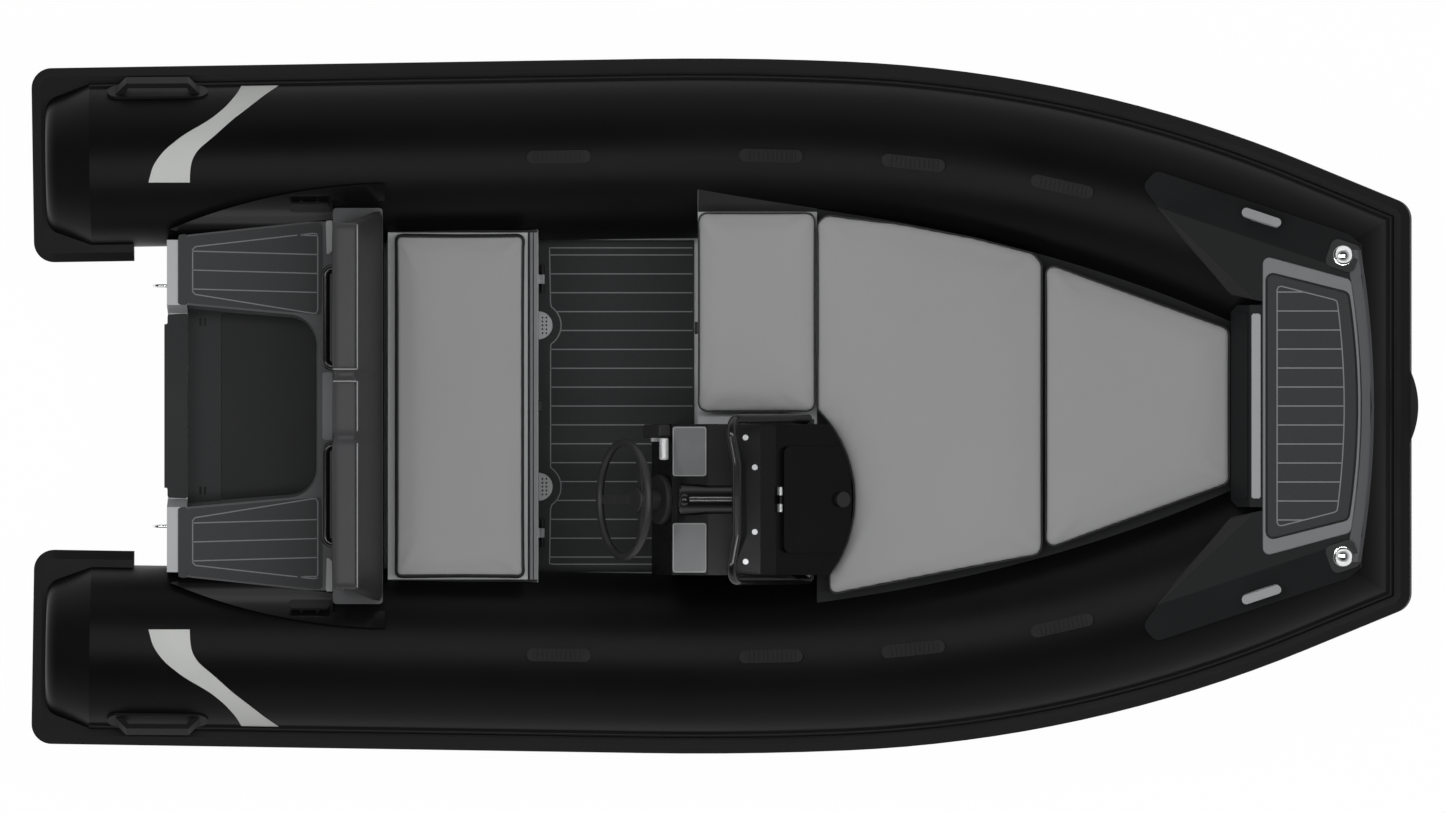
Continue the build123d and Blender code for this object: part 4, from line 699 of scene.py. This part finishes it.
def collarLine():
    # stations along the port tube's centreline, from the stern to the mitre at the bow, with the
    # directions to the left and up at each; at the mitre the left one is lengthened
    knee, spacing, axis = collar["kneeX"], collar["spacing"], tube["axisHeight"]
    rise = math.radians(collar["rise"])
    heading = tube["heading"]
    line = [np.array([0.0, tubeHalf(knee)])]
    spot = line[0] + collar["run"] * bearing(heading)
    line.append(spot)
    for turn, radius in collar["bends"]:
        ahead = bearing(heading)
        hub = spot + np.array([ahead[1], -ahead[0]]) * radius
        count = max(3, int(radius * math.radians(turn) / spacing))
        steps = np.radians(heading - np.linspace(0, turn, count)[1:])
        line.extend(hub + radius * np.stack([-np.sin(steps), np.cos(steps)], 1))
        spot, heading = line[-1], heading - turn
    reach = (collar["mitreX"] - knee) / math.cos(rise)
    ahead = bearing(heading)
    line.append(spot + ahead * (reach - spot[0]) / ahead[0])
    line = np.array(line)
    spots = np.stack([knee + line[:, 0] * math.cos(rise), line[:, 1],
                      axis + line[:, 0] * math.sin(rise)], 1)
    aftLine = evenly([(tube["sternX"], tube["sternHalf"], axis), (knee, tubeHalf(knee), axis)], spacing)
    centre = np.concatenate([aftLine[:-1], spots])
    up = np.concatenate([np.tile([0, 0, 1.0], (len(aftLine) - 1, 1)),
                         np.tile([-math.sin(rise), 0, math.cos(rise)], (len(spots), 1))])
    ahead = unit(np.gradient(centre, axis=0))
    left = unit(np.cross(up, ahead))
    # mitre at the bow: halfway between this tube's left and the bow tube's
    last = math.radians(heading)
    bowLeft = np.array([math.cos(rise), 0, math.sin(rise)])
    tubeLeft = np.array([-math.sin(last) * math.cos(rise), math.cos(last),
                         -math.sin(last) * math.sin(rise)])
    half = unit(bowLeft + tubeLeft)
    left[-1] = half / (half @ tubeLeft)
    return centre, left, up


# angles round the tube, in degrees from its outboard side; the bead stands on the strip
stripPlan = dict(low=13.4, high=24.4, thickness=3.0, bead=3.2, beadAngle=22.6, beadWidth=0.9, sunk=1.5,
                 points=16)
angle = np.linspace(stripPlan["low"], stripPlan["high"], stripPlan["points"])
bead = stripPlan["bead"] * np.exp(-((angle - stripPlan["beadAngle"]) / stripPlan["beadWidth"]) ** 2)
thick = stripPlan["thickness"] + bead
thick[-1] = thick[0] = -stripPlan["sunk"]
centre, left, up = collarLine()
grids = []
for sign in (1, -1):
    radial = (np.cos(np.radians(angle))[None, :, None] * left[:, None]
              + sign * np.sin(np.radians(angle))[None, :, None] * up[:, None])
    top = centre[:, None] + radial * (tube["radius"] + thick)[None, :, None]
    under = centre[:, None] + radial[:, ::-1] * (tube["radius"] - stripPlan["sunk"])
    side = np.concatenate([top, under[:, 1:]], 1)
    grids += mirrored([joined(side)])
    # the bow's own length, from one mitre to the other
    grids.append(joined(np.stack([side[-1], side[-1] * np.array([1, -1, 1])])))
footStrip = addPiece("strakeFoot", grids, sharp=30)
dress(footStrip, "strakeRubber")
print("strake foot made")


# lines inlaid in the deck mats

def lineGrids(lines, level, rise=0.0, width=3.4, height=0.5, sunk=-0.3):
    # each line is a flat strip, width wide, that stands a little above the mat
    profile = [(-width / 2, sunk), (width / 2, sunk), (width / 2, height), (-width / 2, height)]
    return [carry(lift(line, level, rise), profile, closed) for line, closed in lines]


def plankLines(numbers, outline, slope=0.0, offset=0.0):
    # plank lines across a mat, each cut to its outline
    lines = []
    for number in numbers:
        y = number * plank + offset
        ends = clipped(y, outline, slope)
        if ends:
            lines.append(([(x, y + slope * x) for x in ends], False))
    return lines


def clipped(y, corners, slope=0.0):
    # the x range in which the line Y = y + slope * x lies inside a convex outline
    corners = np.asarray(corners, float)
    after = np.roll(corners, -1, 0)
    offset = corners[:, 1] - (y + slope * corners[:, 0])
    offsetAfter = after[:, 1] - (y + slope * after[:, 0])
    crosses = (offset <= 0) != (offsetAfter <= 0)
    share = offset[crosses] / (offset[crosses] - offsetAfter[crosses])
    x = corners[crosses, 0] + share * (after[crosses, 0] - corners[crosses, 0])
    return (x.min(), x.max()) if len(x) >= 2 else None


plank = 53.6
# drains are bays in the mat's aft edge; the console stands starboard of wallY
floorPlan = dict(aftX=-498.0, plankX=-496.0, half=449.0, portX=-92.0, starboardX=-150.0, wallX=-152.0,
                 wallY=-35.0, drainX=-529.0, drainY=229.0, bay=64.0, bayReach=62.0, sweep=58.0, planks=8)
bayAngles = np.radians(np.linspace(-floorPlan["sweep"], floorPlan["sweep"], 15))
drains = (-floorPlan["drainY"], floorPlan["drainY"])
edgeLine = [(floorPlan["starboardX"], -floorPlan["half"]), (floorPlan["aftX"], -floorPlan["half"])]
for y in drains:
    edgeLine += [(floorPlan["drainX"] + floorPlan["bay"] * math.cos(a), y + floorPlan["bay"] * math.sin(a))
                 for a in bayAngles]
edgeLine += [(floorPlan["aftX"], floorPlan["half"]), (floorPlan["portX"], floorPlan["half"])]
floorLines = [(evenly(edgeLine, 14.0), False)]
for number in range(-floorPlan["planks"], floorPlan["planks"] + 1):
    y = number * plank
    start = floorPlan["plankX"]
    for drain in drains:
        if abs(y - drain) < floorPlan["bayReach"]:
            start = max(start, floorPlan["drainX"] + math.sqrt(floorPlan["bay"] ** 2 - (y - drain) ** 2))
    end = floorPlan["portX"] if y > floorPlan["wallY"] else floorPlan["wallX"]
    floorLines.append(([(start, y), (end, y)], False))
floorMat = addPiece("floorMatLines", lineGrids(floorLines, topLevel("floor_mat")), sharp=30)
dress(floorMat, "foamLine")

# slant is the planks' angle to the middle plane, in degrees
stepPlan = dict(outline=[(-1506, 317), (-1152, 260), (-1152, 490), (-1506, 450)], slant=1.6, offset=21)
stepLines = [(roundedLoop(stepPlan["outline"], 8, 12), True)]
slope = math.tan(math.radians(stepPlan["slant"]))
stepLines += plankLines(range(5, 10), stepPlan["outline"], -slope, stepPlan["offset"])
stepMat = addPiece("stepMatLines", mirrored(lineGrids(stepLines, topLevel("aft_mats"))), sharp=30)
dress(stepMat, "foamLine")

# the platform and its mat at the bow, with arched fronts
bowRise = 5.0
platformPlan = dict(half=[(1517.6, 425), (1766, 357)], reach=1794.0, corner=18.0)
bowMatPlan = dict(half=[(1531, 375), (1757, 317)], reach=1781.0, corner=16.0)
bowLinePlan = dict(half=[(1558, 341), (1727, 298)], reach=1747.0, corner=10.0)
bowEdgePlan = dict(half=[(1528, 378), (1759, 320)], reach=1784.0, corner=18.0)


def bowLoop(plan):
    # the two aft and the two fore corners are rounded; the points of the arched front stay
    outline = bowed(plan["half"], plan["reach"])
    radii = np.ones(len(outline))
    radii[[0, 1, -2, -1]] = plan["corner"]
    return roundedLoop(outline, radii, 9.0)


stepLevel, platformLevel, bowLevel = [topLevel(node, bowRise)
                                      for node in ("bow_step", "bow_platform", "bow_step_mat")]
platformPlate = plate(bowLoop(platformPlan), stepLevel + 0.3, platformLevel, bowRise, 2.0)
platform = addPiece("bowPlatform", [platformPlate], sharp=30)
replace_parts(dress(platform, "bowGelcoatAndPaintedLight"), "bow_platform")
matPlate = plate(bowLoop(bowMatPlan), platformLevel + 0.2, bowLevel, bowRise, 1.2)
bowMat = addPiece("bowMat", [matPlate], sharp=30)
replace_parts(dress(bowMat, "stepFoam"), "bow_step_mat")
bowOutline = bowLoop(bowLinePlan)
bowLines = [(bowOutline, True)] + plankLines(range(-6, 7), bowOutline)
bowMatLines = addPiece("bowMatLines", lineGrids(bowLines, bowLevel, bowRise), sharp=30)
dress(bowMatLines, "foamLine")
edgeGrids = lineGrids([(bowLoop(bowEdgePlan), True)], platformLevel, bowRise, width=6.0)
dress(addPiece("bowMatEdge", edgeGrids, sharp=30), "mouldedRubberAndPaintedShade")
print("mat lines made")


# the nose of the bow step: from the platform's front to an arched edge
nosePlan = dict(inner=(1766.0, 1797.0, 357.0), outer=(1791.0, 1831.0, 456.0), half=440.0, lip=12.0,
                drop=6.0, skirt=24.0, least=20, points=61)


def noseShape(plan):
    # x = mid + (end - mid) (y / at)^2 for both edges; the section steps down at the lip
    y = np.linspace(-plan["half"], plan["half"], plan["points"])
    inner, outer = [mid + (end - mid) * (y / at) ** 2 for end, mid, at in (plan["inner"], plan["outer"])]
    inner = np.minimum(inner, outer - plan["least"])
    columns = [(inner, 0.5), (outer - plan["lip"], 0.5), (outer - plan["lip"] / 3, -plan["drop"] / 4),
               (outer, -plan["drop"]), (outer - 1, -plan["skirt"]), (inner, -plan["skirt"])]
    sections = [lift(np.stack([x, y], 1), stepLevel + height, bowRise) for x, height in columns]
    return capped(joined(np.stack(sections, 1)))


dress(addPiece("bowNose", [noseShape(nosePlan)], sharp=40), "noseGelcoat")

# plates and trims, some of them painted light and shade: outlines in plan; a port one with both is mirrored
ledge = nodePoints("bow_riser")[:, 2].max()
trims = {
    "riserStep": dict(outlines=[oblong(1486, 1512, -261, 261)], corner=4.0,
                      low=ledge + 0.1, high=ledge + 3.5, finish="paleTrimAndPaintedLight", slot="light_gelcoat"),
    "wellLiner": dict(outlines=[[(-1429, -266), (-1160, -244), (-1160, 244), (-1429, 266)]],
                      corner=[2, 77, 77, 2], low=150.2, high=153.0, finish="wellRubber",
                      slot="black_rubber"),
    "padCap": dict(outlines=[[(-1588.5, -231), (-1580, -231), (-1580, -259), (-1523, -262),
                              (-1523, 262), (-1580, 259), (-1580, 231), (-1588.5, 231)]], corner=2.0,
                   low=258.2, high=262.0, finish="wellRubber", slot="black_rubber"),
    "stepApron": dict(outlines=[[(-1547, 288), (-1522, 284), (-1522, 488), (-1547, 484)]], corner=4.0,
                      both=True, low=430.2, high=434.8, finish="aftFoam", slot="deck_foam"),
    "treadSlots": dict(outlines=[oblong(x - 3.5, x + 3.5, 227, 251) for x in (-1488, -1475)], corner=3.4,
                       spacing=3.0, both=True, bevel=0.3, low=155.5, high=156.4, finish="mouldedRubberAndPaintedShade",
                       slot="black_rubber"),
    # pale plates on the aft deck between the step mats and the backrest, at the outer ends and by the
    # middle: painted light on lit patches of the deck
    "deckLitWedges": dict(outlines=[[(-1130, 524), (-1127, 424), (-1110, 440), (-1110, 528)]], corner=3.0,
                     both=True, low=430.2, high=432.5, finish="paleTrimAndPaintedLight", slot="light_gelcoat"),
    "wellFrontLight": dict(outlines=[oblong(-1139, -1110, -96, 96)], corner=4.0, low=430.2, high=432.5,
                     finish="bowGelcoatAndPaintedLight", slot="light_gelcoat"),
    # black strips in the gaps beside the bench pad and across the bench's front edge: painted shade
    "benchGapShade": dict(outlines=[oblong(-954, -529, 491, 498), oblong(-954, -529, -498, -491),
                                oblong(-558, -552, -494, 494), oblong(-544, -541, -494, 494)],
                      corner=1.0, bevel=0.4, low=385.2, high=387.4, finish="mouldedRubberAndPaintedShade",
                      slot="black_rubber"),
    # a mid-grey band over the locker's light rim at the bench front: painted shade of the gutter on the
    # floor below
    "benchLipShade": dict(outlines=[oblong(-551.5, -530, -494, 494)], corner=2.0, low=385.1, high=386.6,
                     finish="bowGelcoatAndPaintedLight", slot="light_gelcoat"),
    "drainHoles": dict(outlines=[oblong(x - 2.6, x + 2.6, y - 2.6, y + 2.6) for x in (-518, -507)
                                 for y in (207, 218, 229, 240, 251)], corner=2.5, spacing=2.0, both=True,
                       bevel=0.2, low=85.2, high=87.3, finish="glossBlack", slot="gloss_black"),
    # thin darker plates on the wings' inner facets: painted shade, since these facets are the wings' own
    # gelcoat
    "wingFacetShade": dict(outlines=[[(1188, 596), (1277, 495), (1420, 322), (1496, 302)]], corner=2.0,
                       both=True, rise=bowRise, low=stepLevel + 0.1, high=stepLevel + 0.8, bevel=0.4,
                       finish="mouldedRubberAndPaintedShade", slot="dark_gelcoat"),
}
for name, settings in trims.items():
    plates(name, settings)
print("trims made,", len(trims))


# a black strip over the locker's top between the side seat and the tube, up to the tube's own skin
blackStripPlan = dict(startX=-76.0, endX=260.0, seat=549.0, level=500.3, thickness=3.0, points=24)
centre = collarLine()[0]
x = np.linspace(blackStripPlan["startX"], blackStripPlan["endX"], blackStripPlan["points"])
axisY = np.interp(x, centre[:, 0], centre[:, 1])
axisZ = np.interp(x, centre[:, 0], centre[:, 2])
# the skin's inboard line at that level: y = axis - sqrt(r^2 - (level - axis height)^2)
skin = axisY - np.sqrt(tube["radius"] ** 2 - (blackStripPlan["level"] - axisZ) ** 2)
seat = np.full(len(x), blackStripPlan["seat"])
low, high = blackStripPlan["level"], blackStripPlan["level"] + blackStripPlan["thickness"]
columns = [np.stack([x, y, np.full(len(x), z)], 1)
           for y, z in ((seat, low), (seat, high), (skin, high), (skin, low))]
blackStrip = addPiece("seatBlackStrip", [capped(joined(np.stack(columns, 1)))], sharp=30)
dress(blackStrip, "mouldedRubberAndPaintedShade")

# half barrel over the steering gear, with a domed knob
hoodPlan = dict(aftX=-134.0, foreX=24.0, y=-264.0, axis=742.0, radius=44.0, roundOff=12.0, aftShare=0.72,
                knobX=-114.0, knobRise=30.0, knobRadius=20.0)
roundOff, aftShare, ball = [hoodPlan[key] for key in ("roundOff", "aftShare", "knobRadius")]
along = np.concatenate([[0, 2, 6, 12], np.linspace(20, hoodPlan["foreX"] - hoodPlan["aftX"], 12)])
path = np.stack([hoodPlan["aftX"] + along, np.full(len(along), hoodPlan["y"]),
                 np.full(len(along), hoodPlan["axis"])], 1)
# the aft end is rounded: its radius grows from aftShare to 1 as sqrt(1 - (1 - s)^2), where s runs
# from 0 to 1 over the first roundOff mm
rounding = np.sqrt(1 - (1 - np.minimum(along, roundOff) / roundOff) ** 2)
scale = np.where(along < roundOff, aftShare + (1 - aftShare) * rounding, 1.0)
barrel = carry(path, ringProfile(hoodPlan["radius"], 40), scale=scale)
tilt, turn = np.meshgrid(np.linspace(-0.5, 0.5, 13) * np.pi, np.linspace(0, 2 * np.pi, 25), indexing="ij")
knob = np.stack([hoodPlan["knobX"] + ball * np.cos(tilt) * np.cos(turn),
                 hoodPlan["y"] + ball * np.cos(tilt) * np.sin(turn),
                 hoodPlan["axis"] + hoodPlan["knobRise"] + ball * np.sin(tilt)], -1)
dress(addPiece("dashHood", [barrel, knob], sharp=40), "glossBlack")

# thin pale frames round the dash panels, on the dash's slope of 40 in 102
panelPlan = dict(aftX=-146, foreX=-54, half=68, sides=(-128.0, -400.0), corner=6, slope=(40, 102),
                 width=2.2)
dashRise = math.degrees(math.atan2(*panelPlan["slope"]))
aftX, foreX, half = [panelPlan[key] for key in ("aftX", "foreX", "half")]
frames = [(roundedLoop(oblong(aftX, foreX, y - half, y + half), panelPlan["corner"], 8), True)
          for y in panelPlan["sides"]]
frameGrids = lineGrids(frames, topLevel("dash_panels", dashRise), dashRise, width=panelPlan["width"])
dress(addPiece("dashFrames", frameGrids, sharp=30), "paleTrimAndPaintedLight")

# the rubber block at the bow, its face an arc in plan
blockPlan = dict(half=102, behind=3, bevel=3.0)
handle = nodePoints("bow_handle")
low, high = handle.min(0), handle.max(0)
half, backX = blockPlan["half"], low[0] - blockPlan["behind"]
across = np.linspace(-half, half, 21)
face = np.stack([high[0] - (high[0] - low[0]) * (across / half) ** 2, across], 1)
loop = evenly(np.concatenate([face, [(backX, half), (backX, -half)]]), 8.0, closed=True)
bumper = addPiece("bowBumper", [plate(loop, low[2], high[2], 0.0, blockPlan["bevel"])], sharp=30)
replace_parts(dress(bumper, "mouldedRubberAndPaintedShade"), "bow_handle")
print("dash, welt and bow block made")


# studio: floor, sky, soft boxes and camera

def studioFloor(settings):
    # a floor that shows white to the rays that are seen, less a small share for the shadow
    reach = settings["reach"]
    mesh = bpy.data.meshes.new("studioFloor")
    mesh.from_pydata([(-reach, -reach, 0), (reach, -reach, 0), (reach, reach, 0), (-reach, reach, 0)],
                     [], [(0, 1, 2, 3)])
    floor = bpy.data.objects.new("studioFloor", mesh)
    bpy.context.scene.collection.objects.link(floor)
    material = bpy.data.materials.new("studioFloor")
    tree = emptyTree(material)
    matte = put(tree, "ShaderNodeBsdfDiffuse", {"Color": (*settings["grey"], 1)})
    glow = put(tree, "ShaderNodeEmission", {"Color": (1, 1, 1, 1), "Strength": 1.0})
    share = maths(tree, "MULTIPLY", seenRays(tree), settings["white"])
    mix = put(tree, "ShaderNodeMixShader", {0: share, 1: matte.outputs[0], 2: glow.outputs[0]})
    put(tree, "ShaderNodeOutputMaterial", {0: mix.outputs[0]})
    mesh.materials.append(material)


def seenRays(tree):
    # 1 for rays from the camera, off a mirror or through glass
    path = put(tree, "ShaderNodeLightPath").outputs
    seen = maths(tree, "MAXIMUM", path["Is Camera Ray"], path["Is Glossy Ray"])
    return maths(tree, "MAXIMUM", seen, path["Is Transmission Ray"])


def studioSky(sky):
    # a dome that is white at the horizon and dim overhead; plain light for diffuse surfaces
    world = bpy.data.worlds.new("studioSky")
    bpy.context.scene.world = world
    tree = emptyTree(world)
    coords = put(tree, "ShaderNodeTexCoord").outputs["Generated"]
    height = put(tree, "ShaderNodeSeparateXYZ", {0: coords}).outputs["Z"]
    dome = spread(tree, height, 1.0, sky["zenith"], sky["horizon"], sky["ceiling"])
    plain, seen = [put(tree, "ShaderNodeBackground", {"Color": (1, 1, 1, 1), "Strength": strength})
                   for strength in (sky["fill"], dome)]
    mix = put(tree, "ShaderNodeMixShader", {0: seenRays(tree), 1: plain.outputs[0], 2: seen.outputs[0]})
    put(tree, "ShaderNodeOutputWorld", {0: mix.outputs[0]})


def softBox(name, box, sideways):
    lamp = bpy.data.lights.new(name, "AREA")
    lamp.shape = "RECTANGLE"
    lamp.size, lamp.size_y = box["size"]
    lamp.energy = box["watts"]
    holder = bpy.data.objects.new(name, lamp)
    holder.location = (0, box["side"] * sideways, box["height"])
    holder.rotation_euler = (math.radians(box["tilt"] * sideways), 0, 0)
    holder.visible_camera = False
    bpy.context.scene.collection.objects.link(holder)


studioFloor(dict(reach=60.0, grey=(0.86, 0.86, 0.86), white=0.985))
studioSky(dict(zenith=0.04, horizon=0.05, ceiling=0.8, fill=0.34))
softBoxes = {
    "Crown": dict(size=(6.4, 0.26), side=0.66, height=4.2, tilt=0, watts=68),
    "Side": dict(size=(6.0, 1.0), side=4.8, height=2.2, tilt=-68, watts=10),
}
for kind, box in softBoxes.items():
    for name, sideways in (("port", 1), ("starboard", -1)):
        softBox(name + kind, box, sideways)

# the camera's height over the deck's level, and the width that it shows there
view = dict(distance=100.0, level=0.4, centre=(-0.007, -0.0014), width=4.0894, sensor=36.0,
            clip=(1.0, 300.0))
lens = bpy.data.cameras.new("topCamera")
lens.sensor_width = view["sensor"]
lens.lens = view["sensor"] * view["distance"] / view["width"]
lens.clip_start, lens.clip_end = view["clip"]
camera = bpy.data.objects.new("topCamera", lens)
camera.location = (*view["centre"], view["distance"] + view["level"])
bpy.context.scene.collection.objects.link(camera)
bpy.context.scene.camera = camera
bpy.context.scene.view_settings.view_transform = "Standard"
print("studio set")

bpy.context.view_layer.update()
